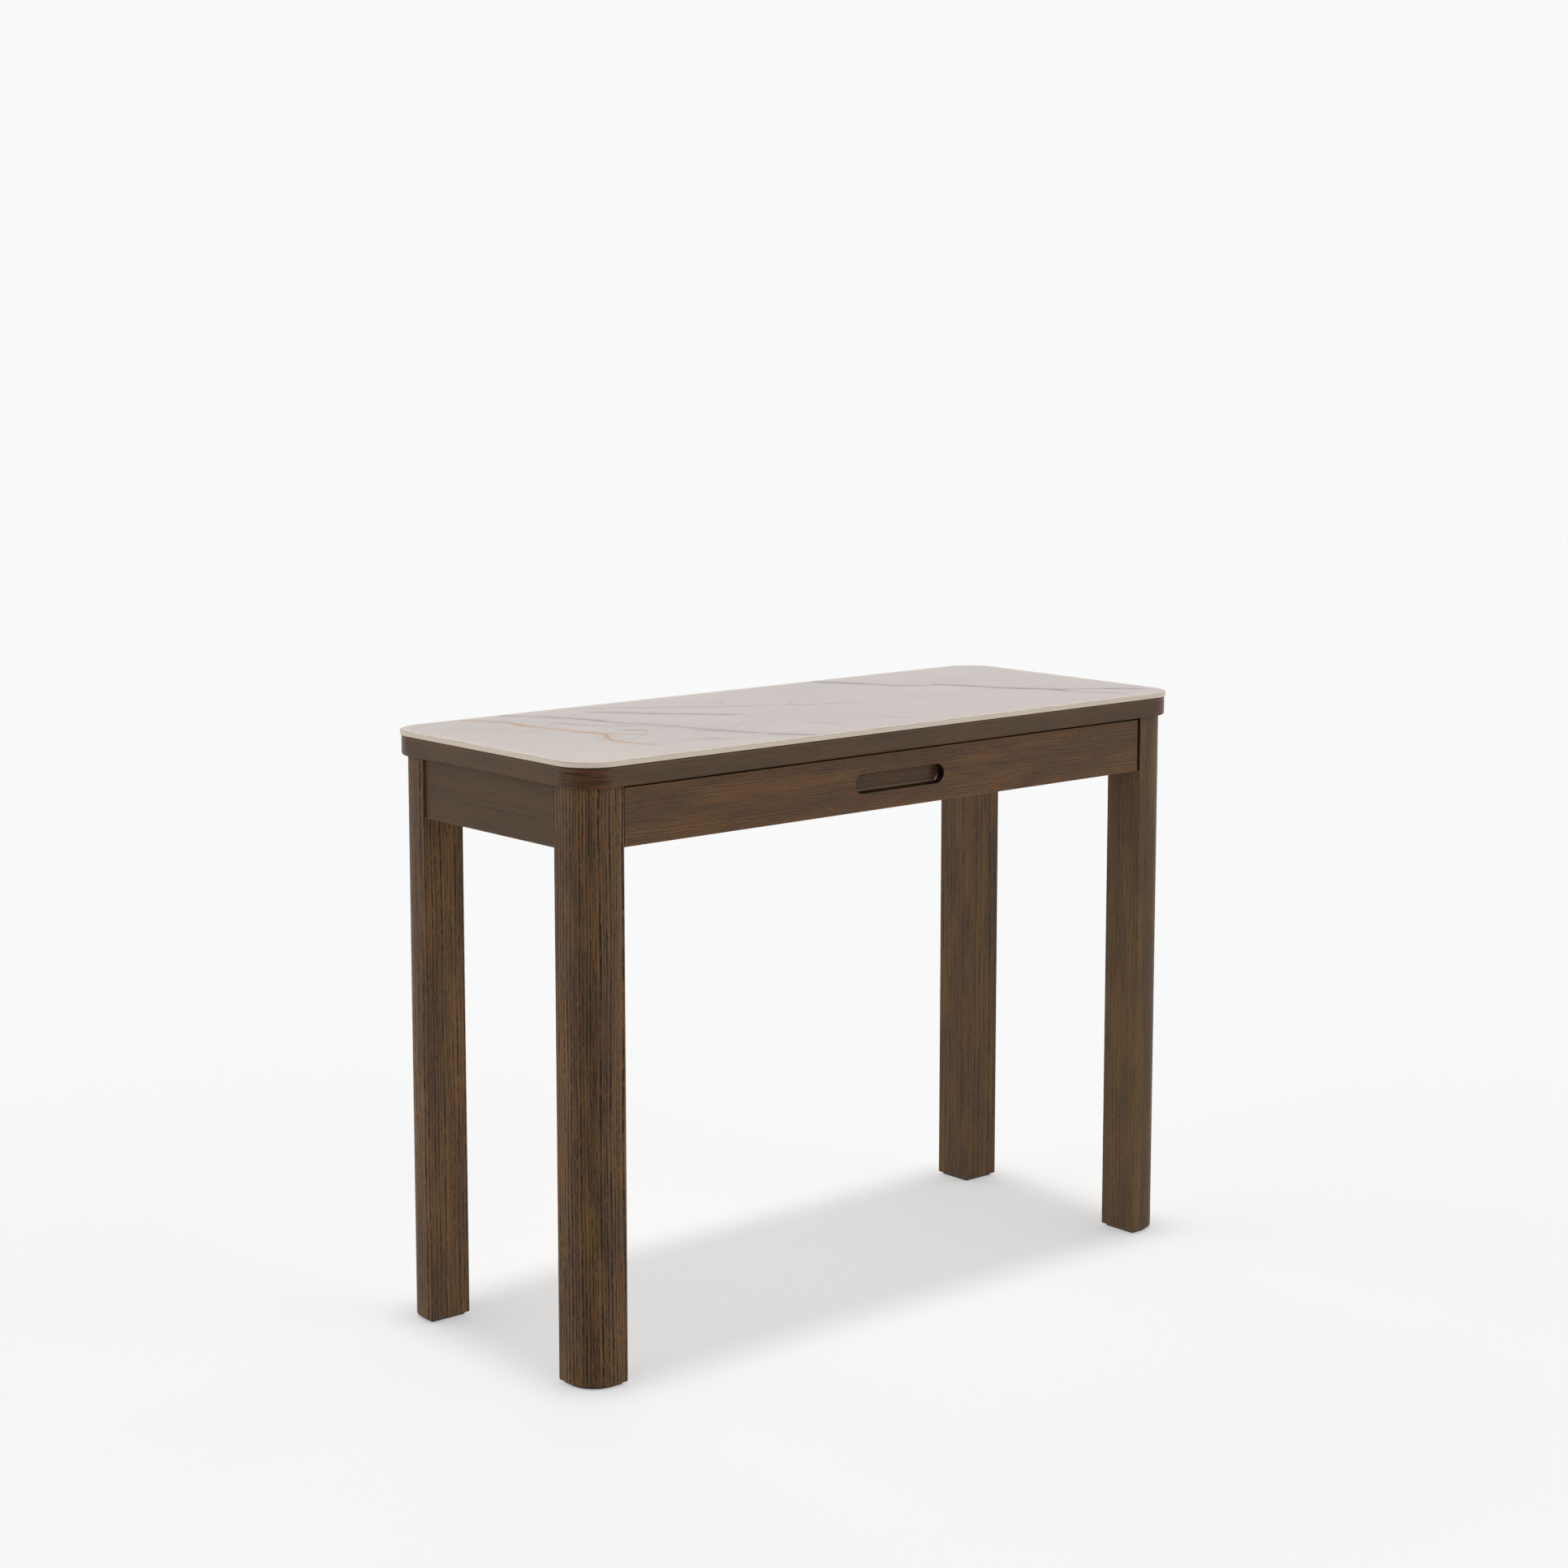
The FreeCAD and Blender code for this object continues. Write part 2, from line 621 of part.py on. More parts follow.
def drawer_front(holes):
    board = box(-FRONT_HALF_LENGTH, FRONT_HALF_LENGTH, FRONT_FACE_Y, FRONT_BACK_Y, FRONT_BOTTOM, FRONT_TOP)
    board = board.makeFillet(WOOD_ARRIS, edges_at_y(board, FRONT_FACE_Y))
    board = board.cut(finger_slot())
    mouth = [e for e in edges_at_y(board, FRONT_FACE_Y) if abs(e.CenterOfMass.x) < SLOT_LENGTH]
    mouth = [e for e in mouth if e.BoundBox.XLength < SLOT_LENGTH]
    board = board.makeFillet(SLOT_ARRIS, mouth)
    return cut_by(board, holes)


def bottom_panel(play=0.0):
    """The drawer's bottom, which sits in grooves in the four walls. With play, the space of the grooves."""
    reach = GROOVE_DEPTH + play
    z = BOX_BOTTOM + BOTTOM_RAISE
    return box(
        -BOX_IN_X - reach,
        BOX_IN_X + reach,
        BOX_FRONT_IN_Y - reach,
        BOX_BACK_IN_Y + reach,
        z - play / 2,
        z + BOTTOM_THICKNESS + play / 2,
    )


def drawer_side(holes):
    wall = box(-BOX_OUT_X, -BOX_IN_X, FRONT_BACK_Y, BOX_BACK, BOX_BOTTOM, BOX_TOP)
    return cut_by(wall, [bottom_panel(PLAY)] + holes)


def drawer_end(y0, y1, holes):
    """The box's inner front or its back, between the two sides."""
    wall = box(-BOX_IN_X, BOX_IN_X, y0, y1, BOX_BOTTOM, BOX_TOP)
    return cut_by(wall, [bottom_panel(PLAY)] + holes)


def drawer_front_screws():
    places = [((x, BOX_FRONT_IN_Y, FRONT_MIDDLE_Z), (0, -1, 0)) for x in FRONT_SCREW_X]
    return screws(FRONT_SCREW, places)


def drawer_box_screws():
    places = []
    for y in (FRONT_BACK_Y + BOX_WALL / 2, BOX_BACK - BOX_WALL / 2):
        for z in BOX_SCREW_Z:
            places.append(((-BOX_OUT_X, y, z), (1, 0, 0)))
    return screws(BOX_SCREW, both_sides(places))


def drawer_bumpers():
    """Clear rubber dots on the top rail's front edge, which the drawer front closes against."""
    centre = Vector(-BUMPER_X, RAIL_FRONT_Y, BOARD_BOTTOM - RAIL_THICKNESS / 2)
    dot = Part.makeCylinder(BUMPER_RADIUS, BUMPER_THICKNESS, centre, Vector(0, -1, 0))
    dot = dot.makeFillet(BUMPER_ROUND, edges_at_y(dot, RAIL_FRONT_Y - BUMPER_THICKNESS))
    return group([dot, mirrored(dot)])


# ---------------------------------------------------------------- slides


def channel(height, start, reach, web_at_far=False):
    """A left-hand channel section, open on the side away from its web, along the whole slide."""
    x0, x1 = -LEG_IN_X + start, -LEG_IN_X + reach
    y0, y1 = SLIDE_FRONT_Y, SLIDE_FRONT_Y + SLIDE_LENGTH
    z0, z1 = SLIDE_Z - height / 2, SLIDE_Z + height / 2
    if web_at_far:
        hollow_x0, hollow_x1 = x0 - OVERCUT, x1 - SHEET
    else:
        hollow_x0, hollow_x1 = x0 + SHEET, x1 + OVERCUT
    hollow = box(hollow_x0, hollow_x1, y0 - OVERCUT, y1 + OVERCUT, z0 + SHEET, z1 - SHEET)
    return box(x0, x1, y0, y1, z0, z1).cut(hollow)


def slide_heights():
    """Outside heights of the outer, middle and inner members, each one race gap inside the last."""
    step = 2 * (SHEET + RACE_GAP)
    return SLIDE_HEIGHT, SLIDE_HEIGHT - step, SLIDE_HEIGHT - 2 * step


def slide_outer(holes):
    """The cabinet member, with a small lip inside the edge of each flange."""
    lip_width, lip_height = OUTER_LIP
    x1 = -LEG_IN_X + OUTER_REACH
    y0, y1 = SLIDE_FRONT_Y, SLIDE_FRONT_Y + SLIDE_LENGTH
    inside = SLIDE_HEIGHT / 2 - SHEET
    lower = box(x1 - lip_width, x1, y0, y1, SLIDE_Z - inside, SLIDE_Z - inside + lip_height)
    upper = box(x1 - lip_width, x1, y0, y1, SLIDE_Z + inside - lip_height, SLIDE_Z + inside)
    body = channel(SLIDE_HEIGHT, 0, OUTER_REACH).multiFuse([lower, upper])
    return cut_by(body.removeSplitter(), holes)


def slide_middle():
    """The middle member, with holes that give a screwdriver access to the cabinet member's screws."""
    places = [Vector(-LEG_IN_X, y, SLIDE_Z) for y in CABINET_SCREW_Y]
    access = [Part.makeCylinder(ACCESS_HOLE_RADIUS, SLIDE_WIDTH, place, Vector(1, 0, 0)) for place in places]
    return cut_by(channel(slide_heights()[1], RACE_GAP, MIDDLE_REACH), access)


def slide_inner(holes):
    """The drawer member."""
    return cut_by(channel(slide_heights()[2], INNER_START, SLIDE_WIDTH, web_at_far=True), holes)


def ball_cage(outside_height, ends, ball_at):
    """A bent strip with two rows of balls, for the races just inside a member of the given height."""
    race = outside_height / 2 - SHEET - RACE_GAP / 2
    x0, x1 = -LEG_IN_X + ends[0], -LEG_IN_X + ends[1]
    y0, y1 = SLIDE_MIDDLE_Y - CAGE_LENGTH / 2, SLIDE_MIDDLE_Y + CAGE_LENGTH / 2
    outside, inside = race + CAGE_SHEET / 2, race - CAGE_SHEET / 2
    strip = box(x0, x1, y0, y1, SLIDE_Z - outside, SLIDE_Z + outside)
    hollow_x0, hollow_x1 = x0 + CAGE_SHEET, x1 + OVERCUT
    hollow = box(hollow_x0, hollow_x1, y0 - OVERCUT, y1 + OVERCUT, SLIDE_Z - inside, SLIDE_Z + inside)
    first_y = SLIDE_MIDDLE_Y - (BALL_COUNT - 1) / 2 * BALL_PITCH
    balls, seats = [], []
    for k in range(BALL_COUNT):
        x, y = -LEG_IN_X + ball_at, first_y + k * BALL_PITCH
        seat = Vector(x, y, SLIDE_Z - outside - OVERCUT)
        seats.append(Part.makeCylinder(BALL_SEAT_RADIUS, 2 * (outside + OVERCUT), seat))
        balls.append(Part.makeSphere(BALL_RADIUS, Vector(x, y, SLIDE_Z - race)))
        balls.append(Part.makeSphere(BALL_RADIUS, Vector(x, y, SLIDE_Z + race)))
    return group([cut_by(strip, [hollow] + seats)] + balls)


def outer_ball_cage():
    """Rolls between the outer and middle members."""
    return ball_cage(slide_heights()[0], OUTER_CAGE, OUTER_BALL)


def inner_ball_cage():
    """Rolls between the middle and inner members."""
    return ball_cage(slide_heights()[1], INNER_CAGE, INNER_BALL)


def slide_cabinet_screws():
    """Screws through the cabinet member, one into the front leg and two into the packer."""
    return screws(CABINET_SCREW, [((-LEG_IN_X + SHEET, y, SLIDE_Z), (-1, 0, 0)) for y in CABINET_SCREW_Y])


def slide_drawer_screws():
    """Screws through the drawer member into the drawer's side."""
    x = -LEG_IN_X + SLIDE_WIDTH - SHEET
    return screws(RUNNER_SCREW, [((x, y, SLIDE_Z), (1, 0, 0)) for y in RUNNER_SCREW_Y])


# ---------------------------------------------------------------- the whole table


def build():
    """Every sub-part by name."""
    dowels = joint_dowels()
    bolts, washers, nuts, bolt_holes = hanger_hardware()
    feet = glide_screws()
    brackets = bracket_screws()
    top_angle = top_bracket_screws()
    rail = rail_screws()
    packer = packer_screws()
    cabinet = slide_cabinet_screws()
    runner = slide_drawer_screws()
    front = drawer_front_screws()
    joints = drawer_box_screws()

    left_leg_holes = dowels.holes + bolt_holes + feet.holes + cabinet.holes
    apron_holes = dowels.holes + brackets.holes
    parts = {
        "stone_top": stone_top(),
        "top_board": top_board(top_angle.holes + rail.holes + packer.holes),
        "top_edge_band": top_edge_band(),
        "silicone_bond_pads": group(bond_pads(BOND_PAD_RADIUS - PLAY)),
        "front_left_leg": front_leg(left_leg_holes),
        "back_left_leg": back_leg(left_leg_holes),
        "front_left_glide": foot_glide(feet.holes),
        "back_left_glide": at_back(foot_glide(feet.holes)),
        "glide_screws": group(feet.solids),
        "left_apron": side_apron(apron_holes),
        "back_apron": back_apron(apron_holes),
        "front_top_rail": front_top_rail(dowels.holes + rail.holes),
        "left_slide_packer": slide_packer(packer.holes + cabinet.holes),
        "joint_dowels": group(dowels.solids),
        "front_left_angle_bracket": front_angle_bracket(bolt_holes + brackets.holes),
        "back_left_corner_bracket": back_corner_bracket(bolt_holes + brackets.holes),
        "hanger_bolts": group(bolts),
        "hanger_washers": group(washers),
        "hanger_nuts": group(nuts),
        "bracket_screws": group(brackets.solids),
        "top_brackets": top_brackets(brackets.holes + top_angle.holes),
        "top_screws": group(top_angle.solids + rail.solids + packer.solids),
        "drawer_front": drawer_front(front.holes),
        "drawer_inner_front": drawer_end(FRONT_BACK_Y, BOX_FRONT_IN_Y, front.holes + joints.holes),
        "drawer_back": drawer_end(BOX_BACK_IN_Y, BOX_BACK, joints.holes),
        "drawer_left_side": drawer_side(joints.holes + runner.holes),
        "drawer_bottom": bottom_panel(),
        "drawer_front_screws": group(front.solids),
        "drawer_box_screws": group(joints.solids),
        "drawer_bumpers": drawer_bumpers(),
        "left_slide_outer": slide_outer(cabinet.holes),
        "left_slide_middle": slide_middle(),
        "left_slide_inner": slide_inner(runner.holes),
        "left_outer_ball_cage": outer_ball_cage(),
        "left_inner_ball_cage": inner_ball_cage(),
        "left_slide_cabinet_screws": group(cabinet.solids),
        "left_slide_drawer_screws": group(runner.solids),
    }
    for name in [n for n in parts if "left" in n]:
        parts[name.replace("left", "right")] = mirrored(parts[name])
    return parts


def main():
    os.makedirs("parts", exist_ok=True)
    for name, shape in build().items():
        shape.exportStep(f"parts/{name}.step")
        state = "valid" if shape.isValid() and all(s.Volume > 0 for s in shape.Solids) else "NOT VALID"
        print(f"{name}: {len(shape.Solids)} solids, {shape.Volume / 1000:.2f} cm3, {state}")


main()
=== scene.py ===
import math

import bpy
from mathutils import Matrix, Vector


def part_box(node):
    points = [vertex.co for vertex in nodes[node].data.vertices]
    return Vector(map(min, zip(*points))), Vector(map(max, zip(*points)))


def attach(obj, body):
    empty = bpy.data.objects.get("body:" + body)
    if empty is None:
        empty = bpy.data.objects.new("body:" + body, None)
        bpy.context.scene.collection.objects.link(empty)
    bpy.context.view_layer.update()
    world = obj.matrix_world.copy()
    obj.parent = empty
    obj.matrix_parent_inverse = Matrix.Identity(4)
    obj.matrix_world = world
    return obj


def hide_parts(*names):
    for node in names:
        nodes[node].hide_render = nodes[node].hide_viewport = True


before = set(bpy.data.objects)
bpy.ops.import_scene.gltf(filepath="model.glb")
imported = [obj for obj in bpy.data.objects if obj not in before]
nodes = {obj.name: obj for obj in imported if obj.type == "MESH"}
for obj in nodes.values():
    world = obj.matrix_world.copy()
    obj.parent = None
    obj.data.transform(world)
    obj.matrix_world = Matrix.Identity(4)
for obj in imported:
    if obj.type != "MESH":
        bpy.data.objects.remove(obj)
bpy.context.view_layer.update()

MM = 0.001


def linear(level):
    """A level of 8-bit sRGB, as linear light from 0 to 1."""
    level = level / 255
    return level / 12.92 if level <= 0.04045 else ((level + 0.055) / 1.055) ** 2.4


def shade(red, green, blue):
    """A colour given as 8-bit sRGB, as the linear RGBA that the shaders take."""
    return (linear(red), linear(green), linear(blue), 1.0)


def even(tone):
    """One number for all three channels of a colour."""
    return (tone, tone, tone)


# ---------------------------------------------------------------- node graphs


# The Mix node keeps sockets for every kind of data. These are the factor, the two colours and the result
MIX_COLOUR_INPUTS = (0, 6, 7)
MIX_COLOUR_OUTPUT = 2
MIDDLE_GREY = (0.5, 0.5, 0.5)


class Graph:
    """A node tree, built up by short calls that hand back sockets."""

    def __init__(self, owner):
        owner.use_nodes = True
        self.tree = owner.node_tree
        self.tree.nodes.clear()

    def add(self, kind, **settings):
        node = self.tree.nodes.new(kind)
        for key, value in settings.items():
            setattr(node, key, value)
        return node

    def feed(self, socket, value):
        if isinstance(value, bpy.types.NodeSocket):
            self.tree.links.new(value, socket)
        else:
            socket.default_value = value

    def math(self, operation, first, second=0.0, third=0.0):
        node = self.add("ShaderNodeMath", operation=operation)
        for socket, value in zip(node.inputs, (first, second, third)):
            self.feed(socket, value)
        return node.outputs[0]

    def vector(self, operation, first, second=(0.0, 0.0, 0.0)):
        node = self.add("ShaderNodeVectorMath", operation=operation)
        self.feed(node.inputs[0], first)
        self.feed(node.inputs[1], second)
        return node.outputs["Value" if operation in ("LENGTH", "DOT_PRODUCT") else "Vector"]

    def split(self, vector):
        node = self.add("ShaderNodeSeparateXYZ")
        self.feed(node.inputs[0], vector)
        return list(node.outputs)

    def join(self, x, y, z):
        node = self.add("ShaderNodeCombineXYZ")
        for socket, value in zip(node.inputs, (x, y, z)):
            self.feed(socket, value)
        return node.outputs[0]

    def total(self, *values):
        result = values[0]
        for value in values[1:]:
            result = self.math("ADD", result, value)
        return result

    def product(self, *values):
        result = values[0]
        for value in values[1:]:
            result = self.math("MULTIPLY", result, value)
        return result

    def greatest(self, *values):
        result = values[0]
        for value in values[1:]:
            result = self.math("MAXIMUM", result, value)
        return result

    def span(self, value, low, high):
        """Stretches 0 to 1 over low to high."""
        return self.math("MULTIPLY_ADD", value, high - low, low)

    def fade(self, value, start, end):
        """0 up to start, 1 from end on, and smooth in between. End may be the smaller."""
        node = self.add("ShaderNodeMapRange", interpolation_type="SMOOTHSTEP")
        self.feed(node.inputs["Value"], value)
        node.inputs["From Min"].default_value = start
        node.inputs["From Max"].default_value = end
        return node.outputs["Result"]

    def mix(self, amount, first, second):
        """Two colours mixed by amount."""
        node = self.add("ShaderNodeMix", data_type="RGBA")
        for index, value in zip(MIX_COLOUR_INPUTS, (amount, first, second)):
            self.feed(node.inputs[index], value)
        return node.outputs[MIX_COLOUR_OUTPUT]

    def noise_node(self, place, size, detail):
        """Noise whose features are of the given size in metres along each axis."""
        node = self.add("ShaderNodeTexNoise")
        self.feed(node.inputs["Vector"], self.vector("MULTIPLY", place, tuple(1 / s for s in size)))
        node.inputs["Scale"].default_value = 1.0
        node.inputs["Detail"].default_value = detail
        return node

    def noise(self, place, size, detail=2.0):
        """The same noise as one value from 0 to 1, gathered about a half."""
        return self.noise_node(place, size, detail).outputs["Fac"]

    def drift(self, place, size, reach):
        """Place, pushed about by noise as far as reach, which gives one distance per axis."""
        push = self.vector("SUBTRACT", self.noise_node(place, size, 2.0).outputs["Color"], MIDDLE_GREY)
        return self.vector("ADD", place, self.vector("MULTIPLY", push, tuple(2 * r for r in reach)))

    def curve(self, value, points):
        """A smooth curve through points given as (value, result), both from 0 to 1."""
        node = self.add("ShaderNodeFloatCurve")
        line = node.mapping.curves[0]
        line.points[0].location = points[0]
        line.points[1].location = points[-1]
        for point in points[1:-1]:
            line.points.new(*point)
        node.mapping.update()
        self.feed(node.inputs["Value"], value)
        return node.outputs["Value"]

    def seasons(self, place, rate):
        """Soft flat-sawn year rings, at so many to the metre along each axis."""
        season = self.math("FRACT", self.vector("LENGTH", self.vector("MULTIPLY", place, rate)))
        return self.fade(self.math("ABSOLUTE", self.math("SUBTRACT", season, 0.5)), 0.5, 0.05)

    def position(self):
        return self.add("ShaderNodeTexCoord").outputs["Object"]

    def facing(self, axis):
        """How squarely the surface faces along one of the piece's own axes, either way."""
        normal = self.add("ShaderNodeTexCoord").outputs["Normal"]
        return self.math("ABSOLUTE", self.split(normal)["XYZ".index(axis)])


class Surface(Graph):
    """A material with one shader."""

    def __init__(self, name):
        self.material = bpy.data.materials.new(name)
        super().__init__(self.material)
        self.shader = self.add("ShaderNodeBsdfPrincipled")
        output = self.add("ShaderNodeOutputMaterial")
        self.tree.links.new(self.shader.outputs["BSDF"], output.inputs["Surface"])

    def set(self, **values):
        """Feeds sockets of the shader, named with underscores for spaces."""
        for key, value in values.items():
            self.feed(self.shader.inputs[key.replace("_", " ")], value)

    def paint(self, colour):
        """Feeds the base colour, and keeps it for whatever goes over it."""
        self.colour = colour
        self.set(Base_Color=colour)

    def relief(self, height, depth, strength=1.0):
        node = self.add("ShaderNodeBump")
        node.inputs["Strength"].default_value = strength
        node.inputs["Distance"].default_value = depth
        self.feed(node.inputs["Height"], height)
        self.set(Normal=node.outputs["Normal"])


def grain_space(g, along):
    """Position in the piece, turned so that the third coordinate runs along the grain."""
    x, y, z = g.split(g.position())
    return g.join(*{"X": (y, z, x), "Y": (z, x, y), "Z": (x, y, z)}[along])


def arris(g, node, reach):
    """1 on the straight edges of a box-shaped piece, fading out within reach of them."""
    low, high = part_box(node)
    away = g.vector("SUBTRACT", g.position(), tuple((low + high) / 2))
    sides = []
    for offset, half in zip(g.split(away), (high - low) / 2):
        sides.append(g.fade(g.math("ABSOLUTE", offset), half - reach, half))
    x, y, z = sides
    return g.greatest(g.product(x, y), g.product(y, z), g.product(z, x))


# ---------------------------------------------------------------- dark oak


OAK_BROWN = shade(86, 62, 36)
OAK_GOLD = shade(114, 82, 38)
OAK_RUST = shade(116, 66, 34)
OAK_GREY = shade(96, 76, 52)
OAK_PORE = shade(30, 15, 13)
# Darker end grain, which also serves as painted shade in the drawer gap, the finger slot and under the
# stone; then lighter rubbed edges, which also serve as a painted highlight line under the stone
OAK_END_GRAIN_AND_SHADE = shade(26, 16, 11)
OAK_WEAR_AND_HIGHLIGHT = shade(128, 88, 52)
OAK_SHEEN = 0.27
# Colours for the band's corners: a dark red-brown, and a light red whose streaks are partly a painted
# highlight
BAND_DARK = shade(36, 18, 12)
BAND_RED_AND_HIGHLIGHT = shade(104, 58, 34)
# Painted shade inside the finger slot
SLOT_PAINTED_SHADE = shade(48, 34, 26)

# Sizes of the oak's features in metres: across the grain twice, then along it
OAK_BENDS = (0.05, 0.05, 0.3)
OAK_WAVES = (0.008, 0.008, 0.05)
OAK_TREMBLE = (0.0025, 0.0025, 0.005)
PORE = (0.0016, 0.0016, 0.012)
PORE_RUN = (0.006, 0.006, 0.07)
STRAY_PORE = (0.0011, 0.0011, 0.011)
OAK_FIBRE = (0.0011, 0.0011, 0.045)
GOLD_PATCH = (0.02, 0.02, 0.14)
RUST_PATCH = (0.004, 0.004, 0.022)
RUBBED_PATCH = (0.02, 0.02, 0.02)
WORN_REACH = 3 * MM

# The finger slot in the drawer front: half its length and height as they show, how far outside that its
# painted shade starts and is full, and the depths where the painted shade comes in and goes out again
SLOT_REACH = Vector((78.5, 16.2)) * MM
SLOT_SOFT_EDGE = (3 * MM, 1 * MM)
SLOT_MOUTH = (0.8 * MM, 3 * MM)
SLOT_BACK = (15 * MM, 13 * MM)


def oak(g, place, pith, ring, line, patch, seed):
    """Stained open-pored oak. Place has its third coordinate along the grain, pith is the middle of the
    trunk in the other two, ring is the width of a year's growth, and line and patch say how strongly the
    dark pore lines and the golden patches show."""
    place = g.vector("ADD", place, (0.0, 0.0, 7.3 * seed))
    swayed = g.drift(place, OAK_BENDS, (0.004, 0.004, 0.0))
    swayed = g.drift(swayed, OAK_WAVES, (0.0006, 0.0006, 0.0))
    swayed = g.drift(swayed, OAK_TREMBLE, (0.0007, 0.0007, 0.0))
    from_pith = g.vector("MULTIPLY", g.vector("SUBTRACT", swayed, (*pith, 0.0)), (1.0, 1.0, 0.0))
    radius = g.vector("LENGTH", from_pith)
    uneven = g.noise(g.join(radius, seed, 0.0), (ring * 2.5, 1.0, 1.0))
    years = g.math("ADD", g.math("DIVIDE", radius, ring), g.span(uneven, -1.2, 1.2))
    season = g.math("FRACT", years)
    early = g.fade(g.math("ABSOLUTE", g.math("SUBTRACT", season, 0.5)), 0.22, 0.11)
    pores = g.fade(g.noise(place, PORE, 2.0), 0.37, 0.49)
    runs = g.fade(g.noise(place, PORE_RUN, 2.0), 0.3, 0.58)
    stray = g.fade(g.noise(place, STRAY_PORE, 1.0), 0.58, 0.7)
    lines = g.product(early, g.span(pores, 0.25, 1.0), g.span(runs, 0.4, 1.0))
    pits = g.greatest(lines, g.product(stray, 0.5))
    fibre = g.noise(place, OAK_FIBRE, 3.0)
    gold = g.fade(g.noise(place, GOLD_PATCH, 2.0), 0.38, 0.64)
    rust = g.fade(g.noise(g.vector("ADD", place, (1.0, 2.0, 3.0)), RUST_PATCH, 3.0), 0.52, 0.68)
    colour = g.mix(g.product(gold, patch), OAK_BROWN, OAK_GOLD)
    colour = g.mix(g.product(rust, patch, 0.8), colour, OAK_RUST)
    colour = g.mix(g.product(g.fade(fibre, 0.45, 0.75), 0.4), colour, OAK_GREY)
    colour = g.mix(g.product(g.fade(fibre, 0.5, 0.28), line, 0.5), colour, OAK_PORE)
    colour = g.mix(g.product(pits, line), colour, OAK_PORE)
    g.relief(g.math("SUBTRACT", g.product(fibre, 0.3), pits), 0.0002, 0.5)
    g.set(Specular_IOR_Level=OAK_SHEEN)
    g.set(Roughness=g.total(0.42, g.product(pits, 0.25), g.product(fibre, 0.08)))
    return colour


def oak_piece(node, along, pith, ring, line, patch, tone, seed):
    """Oak for a CAD piece, with darker end grain and lighter edges where the stain is rubbed thin. Tone
    multiplies the stain's red, green and blue."""
    g = Surface("oak_" + node)
    colour = oak(g, grain_space(g, along), pith, ring, line, patch, seed)
    colour = g.vector("MULTIPLY", colour, tone)
    rubbed = g.fade(g.noise(g.position(), RUBBED_PATCH, 3.0), 0.35, 0.65)
    wear_and_highlight = g.product(arris(g, node, WORN_REACH), g.span(rubbed, 0.05, 0.35))
    colour = g.mix(wear_and_highlight, colour, OAK_WEAR_AND_HIGHLIGHT)
    colour = g.mix(g.product(g.fade(g.facing(along), 0.55, 0.95), 0.8), colour, OAK_END_GRAIN_AND_SHADE)
    g.paint(colour)
    return g


def painted_gap_shade(g, node):
    """Painted shade on a front leg's inner side, in the gap where the drawer front closes against it."""
    low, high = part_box(node)
    inner = min(abs(low.x), abs(high.x))
    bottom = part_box("drawer_front")[0].z
    x, _, z = g.split(g.position())
    side = g.fade(g.math("ABSOLUTE", x), inner + 0.4 * MM, inner + 0.1 * MM)
    above = g.fade(z, bottom - 1 * MM, bottom + 1 * MM)
    g.paint(g.mix(g.product(side, above, 0.85), g.colour, OAK_END_GRAIN_AND_SHADE))


def slot_painted_shade(g):
    """The drawer front's oak painted darker inside its finger slot as painted shade, nearly black on the
    routed walls, and glossier in there than on the face."""
    low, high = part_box("drawer_front")
    x, y, z = g.split(g.position())
    middle = (low.z + high.z) / 2
    mouth = g.fade(y, *(low.y + depth for depth in SLOT_MOUTH))
    back = g.fade(y, *(low.y + depth for depth in SLOT_BACK))
    depth = g.product(mouth, back)
    across = g.fade(g.math("ABSOLUTE", x), *(SLOT_REACH.x + soft for soft in SLOT_SOFT_EDGE))
    from_middle = g.math("ABSOLUTE", g.math("SUBTRACT", z, middle))
    up = g.fade(from_middle, *(SLOT_REACH.y + soft for soft in SLOT_SOFT_EDGE))
    inside = g.product(depth, across, up)
    walls = g.product(inside, g.fade(g.facing("Y"), 0.85, 0.3))
    # Painted shade: darker over the slot's floor, and nearly black on its walls
    colour = g.mix(g.product(inside, 0.42), g.colour, SLOT_PAINTED_SHADE)
    g.paint(g.mix(g.product(walls, 0.85), colour, OAK_END_GRAIN_AND_SHADE))
    g.set(Roughness=g.span(inside, 0.46, 0.24))


# ---------------------------------------------------------------- sintered stone


STONE_GREY = shade(178, 166, 160)
STONE_COOL = shade(174, 165, 162)
STONE_CREAM = shade(192, 180, 165)
STONE_EDGE = shade(204, 191, 176)
STONE_LINE = shade(146, 134, 112)
VEIN_GOLD = shade(166, 112, 42)
VEIN_GREY = shade(116, 102, 100)
VEIN_DARK = shade(92, 80, 79)
VEIN_OLIVE = shade(150, 136, 100)

SLAB_LOW, SLAB_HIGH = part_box("stone_top")
SLAB_LENGTH, SLAB_DEPTH, _ = SLAB_HIGH - SLAB_LOW

# Sizes of the stone's features in metres: along, across and through the slab
STONE_CLOUD = (0.16, 0.09, 0.2)
STONE_BENDS = (0.05, 0.05, 0.05)
STONE_RIPPLES = (0.009, 0.009, 0.009)
VEIN_BREAKS = (0.03, 0.05, 0.05)
VEIN_SWELLS = (0.018, 0.03, 0.05)
HAIRLINES = (0.3, 0.13, 0.3)
RIM_FLECKS = (0.02, 0.012, 0.02)
STONE_GRIT = (0.0008, 0.0008, 0.0008)
RIM_WIDTH = (14 * MM, 2 * MM)
RIM_WANDER = 20 * MM

